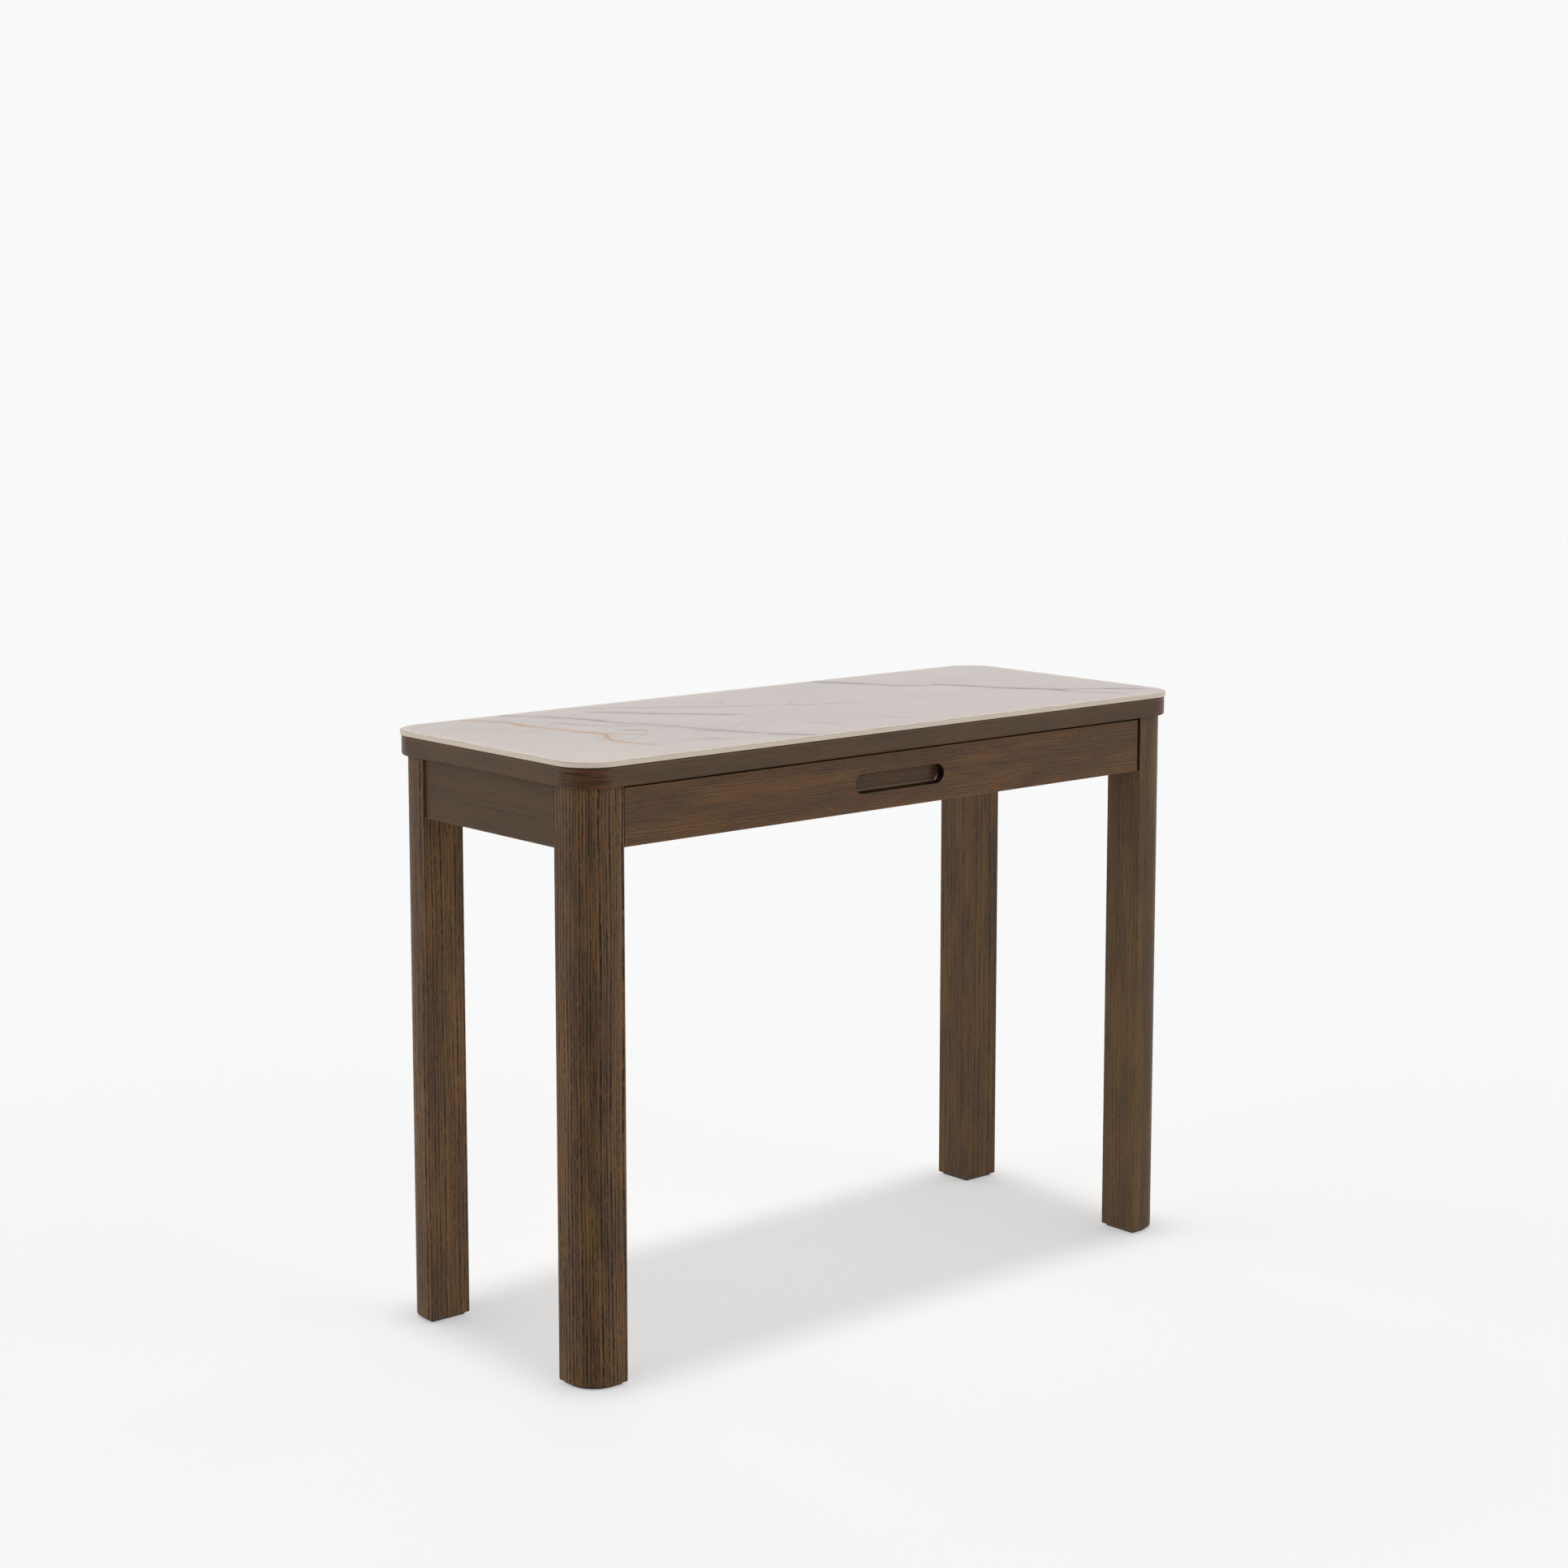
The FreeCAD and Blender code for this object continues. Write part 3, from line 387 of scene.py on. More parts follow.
# Each vein: colour, half width and halo along the table in millimetres, strength, and points (x, y) in
# millimetres from the table's middle, from the back of the slab towards the front
VEINS = (
    (
        VEIN_GOLD, 6.0, 24, 1.0,
        [
            (-405, 200), (-375, 165), (-358, 90), (-350, 50), (-341, 15), (-330, -18), (-342, -38),
            (-353, -65), (-348, -100), (-333, -148),
        ],
    ),
    (VEIN_GOLD, 5.0, 18, 0.85, [(-346, 30), (-335, 0), (-322, -25), (-308, -38), (-285, -68)]),
    (VEIN_GREY, 6.0, 26, 0.6, [(-375, 165), (-345, 135)]),
    (
        VEIN_GREY, 7.5, 34, 0.85,
        [(-330, 195), (-280, 120), (-255, 45), (-228, -15), (-205, -85), (-175, -145), (-137, -198)],
    ),
    (VEIN_GREY, 6.0, 28, 0.7, [(-325, 110), (-300, 60), (-285, 35), (-265, 15), (-245, 0)]),
    (VEIN_GREY, 8.0, 28, 0.7, [(-305, 2), (-290, -10), (-260, -30), (-235, -38)]),
    (VEIN_GREY, 10.0, 32, 0.9, [(-240, 160), (-215, 135), (-165, 75), (-128, 38), (-90, -5)]),
    (
        VEIN_GREY, 6.5, 24, 0.6,
        [(-235, 195), (-175, 155), (-75, 85), (0, 37), (50, 15), (115, -8), (190, -18), (300, -50)],
    ),
    (VEIN_GOLD, 4.0, 14, 0.6, [(35, 55), (15, 35)]),
    (
        VEIN_DARK, 7.0, 28, 1.0,
        [
            (185, 198), (220, 145), (255, 85), (275, 66), (290, 62), (320, 25), (345, -30), (380, -75),
            (395, -90), (455, -130), (480, -165),
        ],
    ),
    (VEIN_DARK, 5.0, 24, 0.8, [(340, -15), (362, -55), (378, -80), (385, -110), (415, -155), (430, -180)]),
    (VEIN_GREY, 4.5, 18, 0.45, [(-85, -85), (-70, -110), (-55, -150)]),
    (VEIN_GREY, 4.5, 18, 0.5, [(15, -110), (30, -130), (58, -172)]),
    (VEIN_GREY, 3.0, 44, 0.8, [(-290, -105), (-255, -135), (-230, -160)]),
    (VEIN_OLIVE, 1.5, 80, 0.8, [(-480, 150), (-400, 80), (-370, 25)]),
)


# A vein that ends further than this from the table's middle is carried past the slab's edge, untapered
RUN_OFF_FROM = 190
RUN_OFF_FACTOR = 1.3
LONGEST_TAPER = 60 * MM
THINNEST = 0.001
HALO_STRENGTH = 0.2


def run_off(y):
    """A vein's end, in metres from the table's middle."""
    return y * MM * (RUN_OFF_FACTOR if abs(y) > RUN_OFF_FROM else 1.0)


def vein(g, place, swell, width, halo, points):
    """Where one vein shows, from 0 to 1. Swell widens and narrows it, and it comes to a point at its ends.
    Its middle is a curve of x over y, both scaled so that the slab runs from 0 to 1."""
    x, y, _ = g.split(place)
    length, depth = SLAB_LENGTH, SLAB_DEPTH
    steps = [(p[1] * MM / depth + 0.5, p[0] * MM / length + 0.5) for p in reversed(points)]
    middle = g.curve(g.math("MULTIPLY_ADD", y, 1 / depth, 0.5), steps)
    away = g.math("ABSOLUTE", g.math("SUBTRACT", g.math("MULTIPLY_ADD", x, 1 / length, 0.5), middle))
    back, front = run_off(points[0][1]), run_off(points[-1][1])
    taper = 0.45 * min(back - front, LONGEST_TAPER)
    ends = g.product(g.fade(y, front, front + taper), g.fade(y, back, back - taper))
    thickness = g.greatest(g.product(swell, ends), THINNEST)
    core = g.fade(g.math("DIVIDE", away, thickness), width * MM, width * MM * 0.25)
    return g.greatest(core, g.product(g.fade(away, halo * MM, 0.0), ends, HALO_STRENGTH))


def from_edge(g, place, half_x, half_y, radius):
    """Distance inwards from the outline of a rectangle with rounded corners."""
    x, y, _ = g.split(place)
    over_x = g.math("SUBTRACT", g.math("ABSOLUTE", x), half_x - radius)
    over_y = g.math("SUBTRACT", g.math("ABSOLUTE", y), half_y - radius)
    corner = g.vector("LENGTH", g.join(g.math("MAXIMUM", over_x, 0.0), g.math("MAXIMUM", over_y, 0.0), 0.0))
    inside = g.math("MINIMUM", g.math("MAXIMUM", over_x, over_y), 0.0)
    return g.math("SUBTRACT", radius, g.math("ADD", corner, inside))


def sintered_stone(half_x, half_y, radius):
    """Pale honed slab: veined on top, creamier towards the front-left, and plain cream in its body."""
    g = Surface("sintered_stone")
    place = g.position()
    x, y, _ = g.split(place)
    cloud = g.noise(place, STONE_CLOUD, 3.0)
    toward_corner = g.total(g.product(x, -0.9), g.product(y, -0.8), g.span(cloud, -0.3, 0.3))
    warm = g.fade(toward_corner, 0.25, 0.75)
    colour = g.mix(g.fade(cloud, 0.35, 0.65), STONE_GREY, STONE_COOL)
    colour = g.mix(g.product(warm, 0.8), colour, STONE_CREAM)
    bent = g.drift(place, STONE_BENDS, (0.005, 0.004, 0.0))
    bent = g.drift(bent, STONE_RIPPLES, (0.0012, 0.001, 0.0))
    broken = g.fade(g.noise(place, VEIN_BREAKS, 4.0), 0.36, 0.62)
    swell = g.span(g.noise(place, VEIN_SWELLS, 3.0), 0.1, 2.1)
    hair = g.math("ABSOLUTE", g.math("SUBTRACT", g.noise(bent, HAIRLINES, 2.0), 0.5))
    hair = g.product(g.fade(hair, 0.006, 0.001), g.fade(cloud, 0.42, 0.6), 0.3)
    colour = g.mix(hair, colour, VEIN_GREY)
    for tint, width, halo, strength, points in VEINS:
        shown = vein(g, bent, swell, width, halo, points)
        colour = g.mix(g.product(shown, g.span(broken, 0.6, 1.0), strength), colour, tint)
    inward = from_edge(g, place, half_x, half_y, radius)
    fleck = g.noise(place, RIM_FLECKS, 4.0)
    rim = g.fade(g.math("ADD", inward, g.span(fleck, -RIM_WANDER, RIM_WANDER)), *RIM_WIDTH)
    colour = g.mix(g.product(rim, 0.85), colour, STONE_CREAM)
    colour = g.mix(g.product(rim, g.fade(fleck, 0.52, 0.66), 0.5), colour, VEIN_OLIVE)
    grit = g.noise(place, STONE_GRIT, 3.0)
    colour = g.mix(g.product(g.fade(grit, 0.58, 0.72), 0.12), colour, VEIN_OLIVE)
    body = g.mix(g.product(g.fade(grit, 0.5, 0.7), 0.25), STONE_EDGE, STONE_LINE)
    upward = g.facing("Z")
    colour = g.mix(g.fade(upward, 0.9, 0.98), body, colour)
    turned = g.product(g.fade(upward, 0.3, 0.7), g.fade(upward, 0.998, 0.96))
    colour = g.mix(g.product(turned, g.span(broken, 0.3, 0.8)), colour, STONE_LINE)
    g.set(Base_Color=colour, Specular_IOR_Level=0.25)
    g.set(Roughness=g.total(0.38, g.product(grit, 0.1), g.product(cloud, 0.06)))
    g.relief(grit, 0.00004, 0.35)
    return g.material


# ---------------------------------------------------------------- the other materials


PLY_FACE = shade(222, 196, 156)
PLY_GRAIN = shade(196, 160, 116)
PLY_END = shade(164, 120, 78)
PINE_PALE = shade(214, 178, 124)
PINE_LATE = shade(178, 126, 74)
BEECH_PALE = shade(206, 166, 124)
BEECH_FLECK = shade(166, 118, 80)
CORE_BROWN = shade(84, 64, 48)
CORE_DARK = shade(48, 35, 27)
STEEL_PALE = shade(196, 198, 200)
STEEL_DULL = shade(150, 153, 157)
ZINC_PALE = shade(206, 204, 192)
ZINC_DULL = shade(158, 158, 150)
PLASTIC_BLACK = shade(24, 24, 25)
PLASTIC_SCUFF = shade(62, 61, 60)
SILICONE_CLEAR = shade(226, 229, 228)
SILICONE_DUST = shade(196, 196, 188)

# Sizes of these materials' features in metres. Wood and brush marks have the grain's direction last
PINE_BENDS = (0.04, 0.04, 0.25)
PINE_FIBRE = (0.0008, 0.0008, 0.04)
PINE_TONE = (0.05, 0.05, 0.3)
PLY_BENDS = (0.05, 0.05, 0.35)
PLY_FIBRE = (0.0007, 0.0007, 0.02)
PLY_SPECK = (0.0006, 0.0006, 0.0006)
VENEER_BENDS = (0.06, 0.06, 0.4)
VENEER_FIBRE = (0.0008, 0.0008, 0.03)
CHIPS = (0.003, 0.003, 0.0015)
BRUSH_MARKS = (0.0003, 0.0003, 0.02)
PLATING_CLOUD = (0.006, 0.006, 0.012)
PLATING_SPOTS = (0.0014, 0.0014, 0.0014)
PLASTIC_TEXTURE = (0.0006, 0.0006, 0.0006)
PLASTIC_SCUFFS = (0.008, 0.0012, 0.008)
DUST = (0.002, 0.002, 0.002)

# Flat-sawn year rings of the veneers, to the metre along each axis
PLY_RINGS = (60.0, 60.0, 0.4)
VENEER_RINGS = (90.0, 90.0, 0.5)


def softwood(name, along, pith, ring, pale, late, seed, finish=0.55):
    """Plain unstained wood with soft year rings, darkest at the end of each year."""
    g = Surface(name)
    place = g.vector("ADD", grain_space(g, along), (0.0, 0.0, 5.1 * seed))
    swayed = g.drift(place, PINE_BENDS, (0.004, 0.004, 0.0))
    flat = g.vector("MULTIPLY", g.vector("SUBTRACT", swayed, (*pith, 0.0)), (1.0, 1.0, 0.0))
    season = g.math("FRACT", g.math("DIVIDE", g.vector("LENGTH", flat), ring))
    band = g.product(g.fade(season, 0.35, 0.9), g.fade(season, 1.0, 0.94))
    fibre = g.noise(place, PINE_FIBRE, 3.0)
    tone = g.noise(place, PINE_TONE, 2.0)
    late_wood = g.product(band, 0.7)
    streaks = g.product(g.fade(fibre, 0.45, 0.75), 0.3)
    amount = g.total(late_wood, streaks, g.span(tone, -0.15, 0.15))
    colour = g.mix(g.math("MINIMUM", g.math("MAXIMUM", amount, 0.0), 1.0), pale, late)
    colour = g.mix(g.product(g.fade(g.facing(along), 0.6, 0.95), 0.45), colour, late)
    g.set(Base_Color=colour, Specular_IOR_Level=0.35)
    g.set(Roughness=g.span(fibre, finish - 0.06, finish + 0.1))
    g.relief(g.math("SUBTRACT", g.product(fibre, 0.5), band), 0.00012, 0.4)
    return g.material


def plywood(node, along, through, plies):
    """Lacquered birch plywood: flat-sawn faces, and its layers on every edge."""
    g = Surface("birch_plywood_" + node)
    place = grain_space(g, along)
    swayed = g.drift(place, PLY_BENDS, (0.012, 0.012, 0.0))
    rings = g.seasons(swayed, PLY_RINGS)
    fibre = g.noise(place, PLY_FIBRE, 3.0)
    grain = g.total(g.product(rings, 0.3), g.product(g.fade(fibre, 0.5, 0.75), 0.45))
    face = g.mix(grain, PLY_FACE, PLY_GRAIN)
    low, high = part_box(node)
    axis = "XYZ".index(through)
    depth = g.math("SUBTRACT", g.split(g.position())[axis], low[axis])
    layer = g.product(depth, plies / (high[axis] - low[axis]))
    parity = g.math("MODULO", g.math("FLOOR", layer), 2.0)
    glue = g.fade(g.math("ABSOLUTE", g.math("SUBTRACT", g.math("FRACT", layer), 0.5)), 0.42, 0.5)
    speck = g.noise(g.position(), PLY_SPECK, 3.0)
    ends = g.mix(g.product(parity, g.span(speck, 0.4, 1.0)), PLY_FACE, PLY_END)
    ends = g.mix(g.product(glue, 0.5), ends, PLY_END)
    colour = g.mix(g.fade(g.facing(through), 0.6, 0.8), ends, face)
    g.set(Base_Color=colour, Specular_IOR_Level=0.4)
    g.set(Roughness=g.span(fibre, 0.36, 0.5))
    g.relief(g.total(fibre, g.product(parity, -0.3)), 0.00008, 0.35)
    return g.material


def plated_steel(name, pale, dull, brushed, rough):
    """Zinc-plated steel with fine marks along one axis and a cloudy plating."""
    g = Surface(name)
    place = grain_space(g, brushed)
    marks = g.noise(place, BRUSH_MARKS, 3.0)
    cloud = g.noise(place, PLATING_CLOUD, 4.0)
    spots = g.fade(g.noise(place, PLATING_SPOTS, 2.0), 0.62, 0.75)
    clouded = g.product(g.fade(cloud, 0.35, 0.7), 0.6)
    amount = g.total(clouded, g.product(marks, 0.25), g.product(spots, 0.3))
    g.set(Base_Color=g.mix(amount, pale, dull), Metallic=1.0)
    g.set(Roughness=g.total(rough - 0.08, g.product(cloud, 0.16), g.product(marks, 0.08)))
    g.relief(marks, 0.00002, 0.4)
    return g.material


def black_plastic():
    """Moulded black glides with a fine texture and scuffed faces."""
    g = Surface("black_plastic")
    place = g.position()
    texture = g.noise(place, PLASTIC_TEXTURE, 2.0)
    scuffs = g.fade(g.noise(place, PLASTIC_SCUFFS, 3.0), 0.58, 0.72)
    g.set(Base_Color=g.mix(g.product(scuffs, 0.5), PLASTIC_BLACK, PLASTIC_SCUFF))
    g.set(Roughness=g.total(0.45, g.product(texture, 0.15), g.product(scuffs, 0.15)))
    g.relief(texture, 0.00006, 0.6)
    return g.material


def silicone():
    """Milky clear silicone with a little dust on it."""
    g = Surface("clear_silicone")
    dust = g.fade(g.noise(g.position(), DUST, 4.0), 0.5, 0.72)
    g.set(Base_Color=g.mix(g.product(dust, 0.5), SILICONE_CLEAR, SILICONE_DUST))
    g.set(Subsurface_Weight=0.5, Subsurface_Scale=0.004, IOR=1.41)
    g.set(Roughness=g.span(dust, 0.22, 0.45))
    g.relief(dust, 0.00003, 0.4)
    return g.material


def board_core():
    """The stained veneer on the underside of the top board, and the chipboard in its holes."""
    g = Surface("board_core")
    place = grain_space(g, "X")
    swayed = g.drift(place, VENEER_BENDS, (0.012, 0.012, 0.0))
    rings = g.seasons(swayed, VENEER_RINGS)
    fibre = g.noise(place, VENEER_FIBRE, 3.0)
    grain = g.total(g.product(rings, 0.5), g.product(g.fade(fibre, 0.42, 0.7), 0.5))
    face = g.mix(grain, CORE_BROWN, CORE_DARK)
    chips = g.noise(g.position(), CHIPS, 3.0)
    core = g.mix(g.fade(chips, 0.4, 0.6), PLY_GRAIN, PLY_END)
    g.set(Base_Color=g.mix(g.fade(g.facing("Z"), 0.6, 0.9), core, face), Specular_IOR_Level=0.25)
    g.set(Roughness=g.span(fibre, 0.5, 0.65))
    g.relief(g.math("SUBTRACT", fibre, rings), 0.0001, 0.3)
    return g.material


# ---------------------------------------------------------------- meshes


# The weighted-normal modifier's strongest setting, which keeps large faces looking flat
FLAT_FACE_WEIGHT = 100


class Outline:
    """A rectangle with rounded corners, as points that can be drawn inwards together."""

    def __init__(self, low, high, radius, steps):
        """Counter-clockwise from the back of the back-left corner."""
        self.points = []
        self.travel = [0.0]
        (x0, y0), (x1, y1) = low, high
        for sign_x, sign_y, start in ((-1, 1, 90), (-1, -1, 180), (1, -1, 270), (1, 1, 0)):
            centre_x = (x0 + radius) if sign_x < 0 else (x1 - radius)
            centre_y = (y0 + radius) if sign_y < 0 else (y1 - radius)
            for k in range(steps + 1):
                angle = math.radians(start + 90 * k / steps)
                self.points.append((centre_x, centre_y, math.cos(angle), math.sin(angle), radius))
        ring = self.ring(0.0)
        for here, after in zip(ring, ring[1:] + ring[:1]):
            self.travel.append(self.travel[-1] + math.dist(here, after))

    def ring(self, inset):
        return [(cx + (r - inset) * nx, cy + (r - inset) * ny) for cx, cy, nx, ny, r in self.points]


def arc(inset, height, radius, start, end, steps):
    """Points (inset, height) of a quarter round. Angles in degrees, 0 straight out and 90 straight up."""
    angles = [math.radians(start + (end - start) * k / steps) for k in range(steps + 1)]
    return [(inset - radius * math.cos(a), height + radius * math.sin(a)) for a in angles]


def swept(name, outline, profile, closed):
    """A profile of (inset, height) carried round an outline. Open profiles get a face across each end.
    The UV map gives the distance round the outline, then the distance along the profile."""
    count = len(outline.points)
    vertices = [(x, y, z) for inset, z in profile for x, y in outline.ring(inset)]
    faces, texture = [], []
    reach = [0.0]
    for before, after in zip(profile, profile[1:] + profile[:1]):
        reach.append(reach[-1] + math.dist(before, after))
    for row in range(len(profile) if closed else len(profile) - 1):
        above = (row + 1) % len(profile)
        for k in range(count):
            following = (k + 1) % count
            below = (row * count + k, row * count + following)
            faces.append((*below, above * count + following, above * count + k))
            u0, u1, v0, v1 = outline.travel[k], outline.travel[k + 1], reach[row], reach[row + 1]
            texture += [(u0, v0), (u1, v0), (u1, v1), (u0, v1)]
    if not closed:
        last = (len(profile) - 1) * count
        caps = [tuple(reversed(range(count))), tuple(range(last, last + count))]
        faces += caps
        texture += [vertices[i][:2] for cap in caps for i in cap]
    mesh = bpy.data.meshes.new(name)
    mesh.from_pydata(vertices, [], faces)
    layer = mesh.uv_layers.new(name="metres")
    for loop, uv in zip(layer.data, texture):
        loop.uv = uv
    mesh.shade_smooth()
    piece = bpy.data.objects.new(name, mesh)
    bpy.context.scene.collection.objects.link(piece)
    piece.modifiers.new("even_normals", "WEIGHTED_NORMAL").weight = FLAT_FACE_WEIGHT
    return piece


CORNER_STEPS = 28
SLAB_RADIUS = 48 * MM
SLAB_TOP_EASE = 1.2 * MM
SLAB_BOTTOM_EASE = 0.6 * MM
BAND_RADIUS = 46.4 * MM
BAND_THICKNESS = 6 * MM
BAND_TOP_EASE = 0.8 * MM
BAND_BOTTOM_ROUND = 3 * MM

# Rings on the slab's flat faces, this far in from its edge, keep the shading of its rounds off the flats
UNDER_RINGS = (6 * MM, 1.5 * MM)
TOP_RINGS = (3 * MM, 10 * MM)


def stone_slab():
    """The slab, with a fine eased edge above and below."""
    low, high = SLAB_LOW, SLAB_HIGH
    outline = Outline(low[:2], high[:2], SLAB_RADIUS, CORNER_STEPS)
    profile = [(inset, low.z) for inset in UNDER_RINGS]
    profile += arc(SLAB_BOTTOM_EASE, low.z + SLAB_BOTTOM_EASE, SLAB_BOTTOM_EASE, -90, 0, steps=3)
    profile += arc(SLAB_TOP_EASE, high.z - SLAB_TOP_EASE, SLAB_TOP_EASE, 0, 90, steps=5)
    profile += [(inset, high.z) for inset in TOP_RINGS]
    slab = swept("stone_slab", outline, profile, closed=False)
    slab.data.materials.append(sintered_stone(high.x, high.y, SLAB_RADIUS))
    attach(slab, "frame")
    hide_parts("stone_top")


def edge_band():
    """The oak edge of the board: eased under the stone, well rounded underneath."""
    low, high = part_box("top_edge_band")
    outline = Outline(low[:2], high[:2], BAND_RADIUS, CORNER_STEPS)
    profile = [(BAND_THICKNESS, low.z)]
    profile += arc(BAND_BOTTOM_ROUND, low.z + BAND_BOTTOM_ROUND, BAND_BOTTOM_ROUND, -90, 0, steps=6)
    profile += arc(BAND_TOP_EASE, high.z - BAND_TOP_EASE, BAND_TOP_EASE, 0, 90, steps=4)
    profile += [(BAND_THICKNESS, high.z)]
    band = swept("oak_edge_band", outline, profile, closed=True)
    band.data.materials.append(oak_band(high.x, high.y, BAND_RADIUS))
    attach(band, "frame")
    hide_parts("top_edge_band")


# Depths below the top of the band, in pairs that a fade starts and ends at, for a painted highlight line
# and then a painted shadow line under the stone
BAND_HIGHLIGHT_LINE = ((3.6 * MM, 2.4 * MM), (1.4 * MM, 2.2 * MM))
BAND_SHADOW_LINE = (1.6 * MM, 0.7 * MM)
BAND_STREAKS = (0.0022, 1.0, 0.06)
BAND_TONE = 0.78


def turning(g, offset, half, radius):
    """0 on a straight side and 1 where its corner has begun to turn."""
    start = half - radius
    return g.fade(g.math("ABSOLUTE", offset), start - 4 * MM, start + 12 * MM)


def oak_band(half_x, half_y, radius):
    """Oak that follows the edge round, redder and more streaked where it turns the corners, its lighter
    streaks there partly a painted highlight, with a painted highlight line and then a painted shadow line
    under the stone."""
    g = Surface("oak_edge_band")
    around, up, _ = g.split(g.add("ShaderNodeUVMap", uv_map="metres").outputs["UV"])
    place = g.join(up, 0.0, around)
    colour = oak(g, place, pith=(0.35, 0.05), ring=0.0024, line=0.4, patch=0.3, seed=1.0)
    colour = g.vector("MULTIPLY", colour, even(BAND_TONE))
    x, y, z = g.split(g.position())
    turn = g.product(turning(g, x, half_x, radius), turning(g, y, half_y, radius))
    streaks = g.noise(g.join(up, 0.0, around), BAND_STREAKS, 3.0)
    red = g.mix(g.fade(streaks, 0.38, 0.62), BAND_DARK, BAND_RED_AND_HIGHLIGHT)
    # Redder wood at the corners, its lighter streaks a painted highlight
    colour = g.mix(g.product(turn, 0.65), colour, red)
    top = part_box("top_edge_band")[1].z
    # A painted highlight line just under the stone
    wear_and_highlight = g.product(*(g.fade(z, top - first, top - last) for first, last in BAND_HIGHLIGHT_LINE))
    colour = g.mix(g.product(wear_and_highlight, 0.2), colour, OAK_WEAR_AND_HIGHLIGHT)
    # A painted shadow line under the stone's overhang
    dark = g.fade(z, *(top - depth for depth in BAND_SHADOW_LINE))
    colour = g.mix(g.product(dark, 0.85), colour, OAK_END_GRAIN_AND_SHADE)
    g.set(Base_Color=colour, Roughness=g.span(turn, 0.46, 0.3), Specular_IOR_Level=0.3)
    return g.material


# ---------------------------------------------------------------- materials on the pieces


def dress(material, *names):
    """Puts a material on CAD pieces."""
    for name in names:
        for slot in nodes[name].material_slots:
            slot.material = material


# Each leg: name, pith, ring, line, patch, tone and seed, as oak_piece takes them
LEG_OAK = (
    ("front_left_leg", (-0.31, -0.31), 0.0038, 1.0, 0.75, even(1.06), 2.0),
    ("front_right_leg", (0.62, -0.02), 0.0032, 0.46, 0.55, (0.93, 0.98, 0.98), 3.0),
    ("back_left_leg", (-0.33, 0.02), 0.0038, 0.85, 0.75, even(1.1), 4.0),
    ("back_right_leg", (0.60, 0.33), 0.0038, 0.65, 0.75, even(0.83), 5.0),
)
# Each apron: the same, with the axis of its grain after its name
APRON_OAK = (
    ("left_apron", "Y", (1.2, -0.8), 0.0024, 0.16, 0.2, even(0.72), 7.0),
    ("right_apron", "Y", (1.2, 0.8), 0.0024, 0.16, 0.2, even(0.8), 8.0),
    ("back_apron", "X", (0.5, 1.1), 0.0028, 0.3, 0.5, even(0.9), 9.0),
)
DRAWER_OAK = ("drawer_front", "X", (-0.5, 1.05), 0.0026, 0.6, 0.6, (0.95, 0.86, 0.78), 6.0)


def dress_oak():
    for name, *finish in LEG_OAK:
        leg = oak_piece(name, "Z", *finish)
        if name.startswith("front"):
            # Painted shade in the gap beside the drawer front
            painted_gap_shade(leg, name)
        dress(leg.material, name)
    front = oak_piece(*DRAWER_OAK)
    # Painted shade in the finger slot
    slot_painted_shade(front)
    dress(front.material, "drawer_front")
    for apron in APRON_OAK:
        dress(oak_piece(*apron).material, apron[0])


def dress_inner_woods():
    dress(softwood("pine_rail", "X", (-0.2, 0.62), 0.003, PINE_PALE, PINE_LATE, 1.0), "front_top_rail")
    packer = softwood("pine_packer", "Y", (0.55, 0.4), 0.003, PINE_PALE, PINE_LATE, 2.0)
    dress(packer, "left_slide_packer", "right_slide_packer")
    dress(softwood("beech", "Y", (0.4, 0.3), 0.002, BEECH_PALE, BEECH_FLECK, 3.0), "joint_dowels")
    dress(plywood("drawer_left_side", "Y", "X", 9), "drawer_left_side")
    dress(plywood("drawer_right_side", "Y", "X", 9), "drawer_right_side")
    dress(plywood("drawer_inner_front", "X", "Y", 9), "drawer_inner_front")
    dress(plywood("drawer_back", "X", "Y", 9), "drawer_back")
    dress(plywood("drawer_bottom", "X", "Z", 5), "drawer_bottom")
    dress(board_core(), "top_board")


def dress_hardware():
    slides = [n for n in nodes if "_slide_" in n and n.endswith(("_outer", "_middle", "_inner"))]
    cages = [n for n in nodes if n.endswith("_ball_cage")]
    screws = [n for n in nodes if n.endswith("_screws")]
    brackets = [n for n in nodes if "bracket" in n and n not in screws]
    hangers = [n for n in nodes if n.startswith("hanger_")]
    dress(plated_steel("slide_steel", STEEL_PALE, STEEL_DULL, "Y", 0.34), *slides)
    dress(plated_steel("cage_steel", STEEL_PALE, STEEL_DULL, "Y", 0.26), *cages)
    dress(plated_steel("bracket_zinc", ZINC_PALE, ZINC_DULL, "Z", 0.38), *brackets)
    dress(plated_steel("fastener_zinc", ZINC_PALE, ZINC_DULL, "X", 0.3), *screws, *hangers)
    dress(black_plastic(), *[n for n in nodes if n.endswith("_glide")])
    dress(silicone(), "silicone_bond_pads", "drawer_bumpers")


# ---------------------------------------------------------------- studio


BACKDROP_TONE = 0.947
FLOOR_TONE = (0.5585, 0.56, 0.5625, 1.0)
FLOOR_GLOW = 0.37
FLOOR_REACH = 60.0
WHITE = (1.0, 1.0, 1.0, 1.0)

# Brightness of the room behind the table, its share in front and overhead, and the brightness from below
ROOM_GLOW = 1.66
FRONT_SHARE = 0.25
OVERHEAD_SHARE = 0.1
LOWER_GLOW = 0.6

OVERHEAD_STRENGTH = 1.2
OVERHEAD_SPREAD = 8.0

# The softbox is aimed at the middle of the drawer front, from this side of it
SOFTBOX_AIM = Vector((0.0, -0.19, 0.67))
SOFTBOX_SIDE = Vector((-0.27, -0.53, 0.79))
SOFTBOX_DISTANCE = 2.6
SOFTBOX_SIZE = 0.9
SOFTBOX_POWER = 70.0

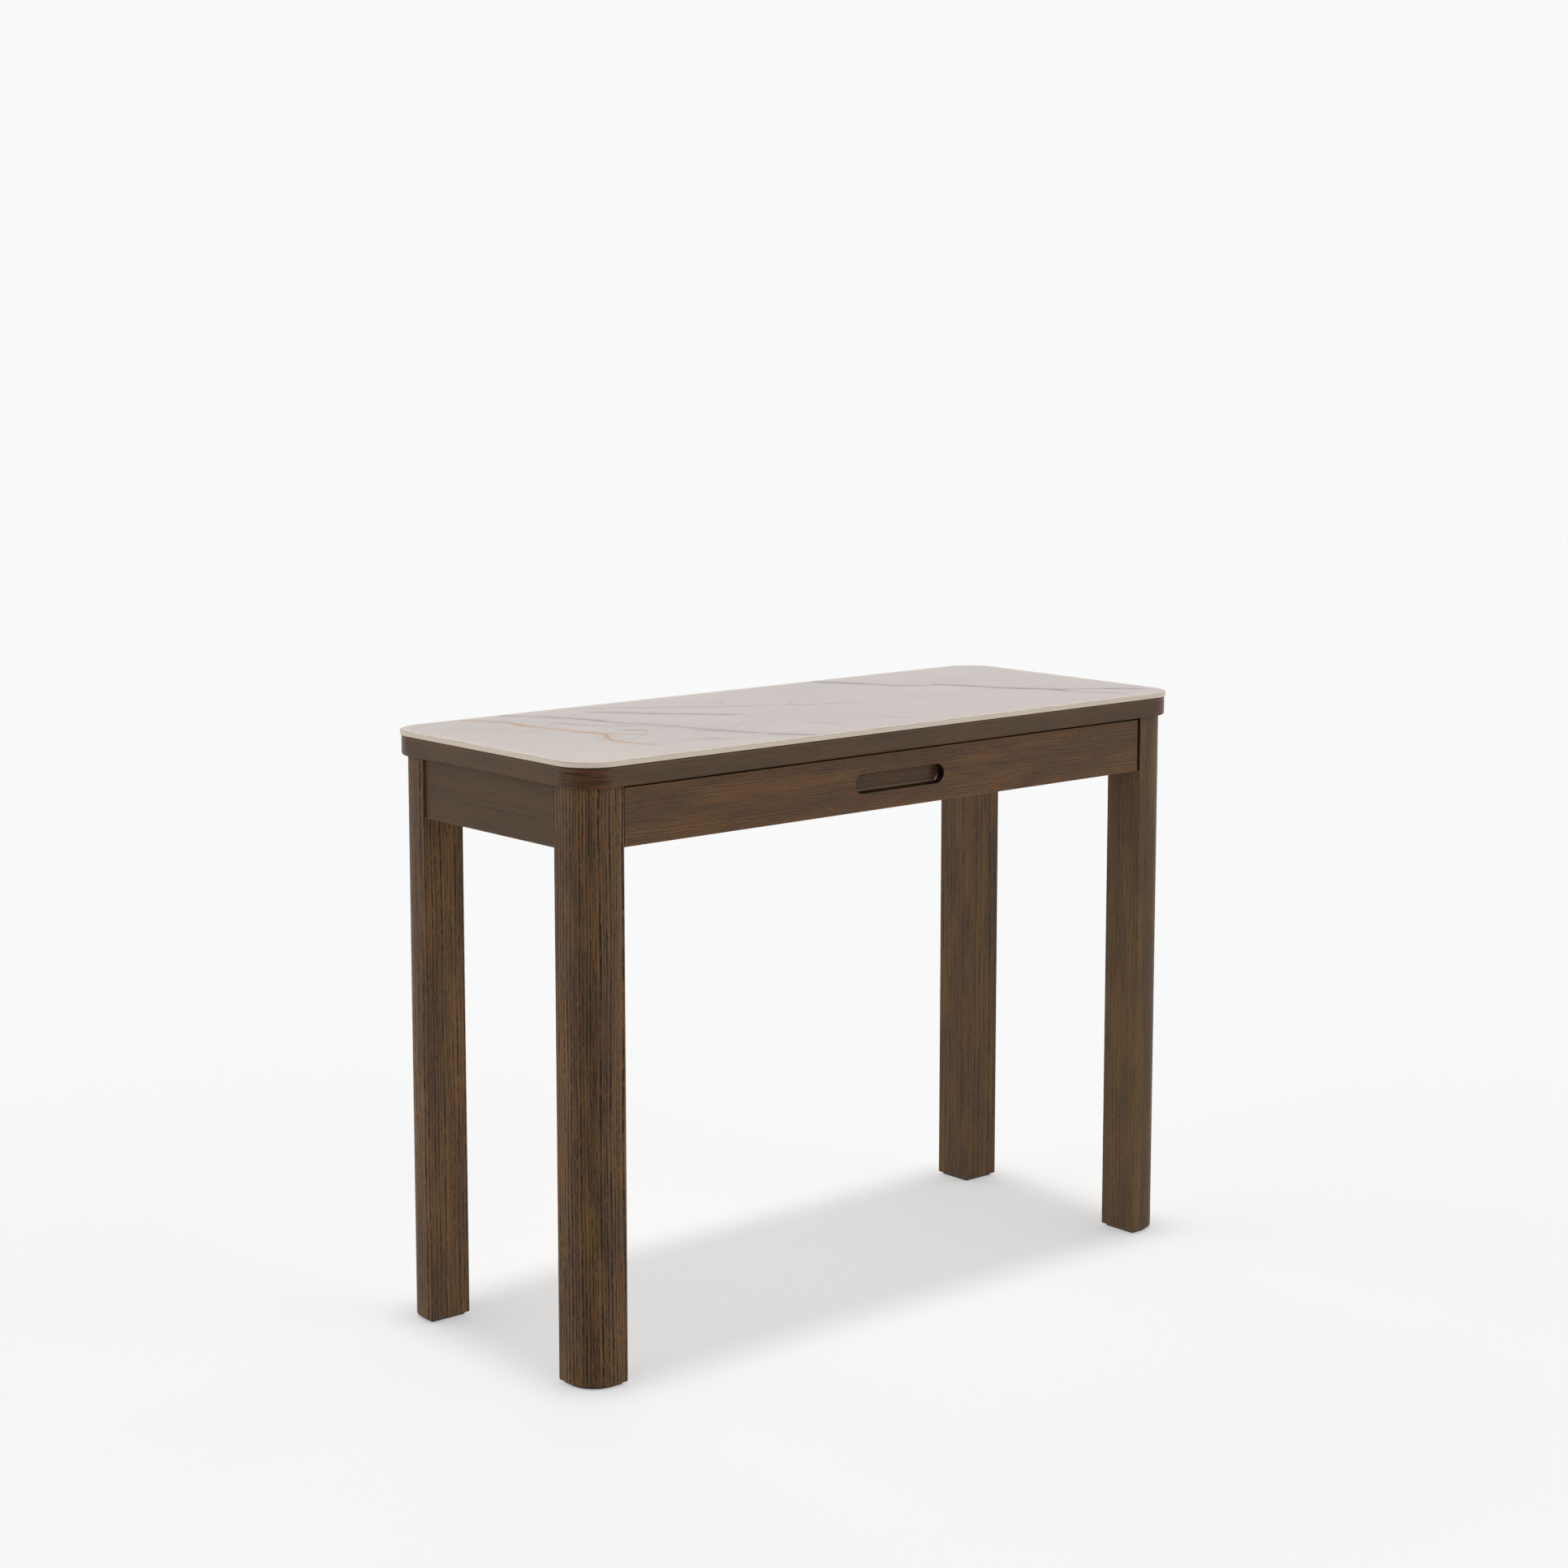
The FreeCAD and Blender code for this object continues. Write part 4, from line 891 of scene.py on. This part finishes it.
CAMERA_PLACE = (-2.494, -2.861, 1.256)
VIEW_YAW = math.radians(40.76)
VIEW_PITCH = math.radians(-7.39)
SENSOR_WIDTH = 36.0
FOCAL_LENGTH = 68.7
FRAME_SHIFT = -0.06
FARTHEST_SEEN = 200.0


def floor():
    """A wide plain floor, which glows a little and doesn't mirror in the table."""
    mesh = bpy.data.meshes.new("studio_floor")
    far = FLOOR_REACH
    mesh.from_pydata([(-far, -far, 0), (far, -far, 0), (far, far, 0), (-far, far, 0)], [], [(0, 1, 2, 3)])
    plane = bpy.data.objects.new("studio_floor", mesh)
    bpy.context.scene.collection.objects.link(plane)
    plane.visible_glossy = False
    g = Surface("studio_floor")
    g.set(Base_Color=FLOOR_TONE, Roughness=0.9, Specular_IOR_Level=0.0)
    g.set(Emission_Color=WHITE, Emission_Strength=FLOOR_GLOW)
    mesh.materials.append(g.material)


def room():
    """A pale room that lights from the sides: dim overhead and dim in front, with an even pale backdrop."""
    world = bpy.data.worlds.new("studio")
    bpy.context.scene.world = world
    g = Graph(world)
    x, y, z = g.split(g.add("ShaderNodeTexCoord").outputs["Generated"])
    level = g.vector("NORMALIZE", g.join(x, y, 0.0))
    front = g.vector("DOT_PRODUCT", level, (-math.sin(VIEW_YAW), -math.cos(VIEW_YAW), 0.0))
    side = g.fade(front, 0.95, 0.45)
    high = g.span(g.fade(z, 0.80, 0.50), OVERHEAD_SHARE, 1.0)
    below = g.fade(z, 0.0, -0.05)
    upper = g.product(high, g.span(side, FRONT_SHARE, 1.0), ROOM_GLOW)
    lower = g.product(side, LOWER_GLOW)
    glow = g.add("ShaderNodeBackground")
    glow.inputs["Color"].default_value = WHITE
    above = g.product(upper, g.math("SUBTRACT", 1.0, below))
    g.feed(glow.inputs["Strength"], g.total(above, g.product(lower, below)))
    backdrop = g.add("ShaderNodeBackground")
    backdrop.inputs["Color"].default_value = (*even(BACKDROP_TONE), 1.0)
    choose = g.add("ShaderNodeMixShader")
    g.feed(choose.inputs[0], g.add("ShaderNodeLightPath").outputs["Is Camera Ray"])
    g.feed(choose.inputs[1], glow.outputs[0])
    g.feed(choose.inputs[2], backdrop.outputs[0])
    g.feed(g.add("ShaderNodeOutputWorld").inputs["Surface"], choose.outputs[0])


def overhead():
    """A soft lamp far above, which makes the shadow under the table."""
    light = bpy.data.lights.new("overhead", "SUN")
    light.energy = OVERHEAD_STRENGTH
    light.angle = math.radians(OVERHEAD_SPREAD)
    holder = bpy.data.objects.new("overhead", light)
    bpy.context.scene.collection.objects.link(holder)


def softbox():
    """A lamp above the front-left of the table that shows only in its gloss."""
    light = bpy.data.lights.new("softbox", "AREA")
    light.shape = "SQUARE"
    light.size = SOFTBOX_SIZE
    light.energy = SOFTBOX_POWER
    holder = bpy.data.objects.new("softbox", light)
    holder.location = SOFTBOX_SIDE * SOFTBOX_DISTANCE + SOFTBOX_AIM
    holder.rotation_euler = (-SOFTBOX_SIDE).to_track_quat("-Z", "Y").to_euler()
    holder.visible_diffuse = False
    holder.visible_camera = False
    bpy.context.scene.collection.objects.link(holder)


def camera():
    """A long lens in front of the table's left end, above its top and looking slightly down."""
    lens = bpy.data.cameras.new("camera")
    lens.sensor_width = SENSOR_WIDTH
    lens.lens = FOCAL_LENGTH
    lens.shift_y = FRAME_SHIFT
    lens.clip_end = FARTHEST_SEEN
    holder = bpy.data.objects.new("camera", lens)
    level = math.cos(VIEW_PITCH)
    ahead = Vector((math.sin(VIEW_YAW) * level, math.cos(VIEW_YAW) * level, math.sin(VIEW_PITCH)))
    holder.location = CAMERA_PLACE
    holder.rotation_euler = ahead.to_track_quat("-Z", "Y").to_euler()
    bpy.context.scene.collection.objects.link(holder)
    bpy.context.scene.camera = holder


def studio():
    floor()
    room()
    overhead()
    softbox()
    camera()
    bpy.context.scene.view_settings.view_transform = "Standard"


stone_slab()
edge_band()
dress_oak()
dress_inner_woods()
dress_hardware()
studio()
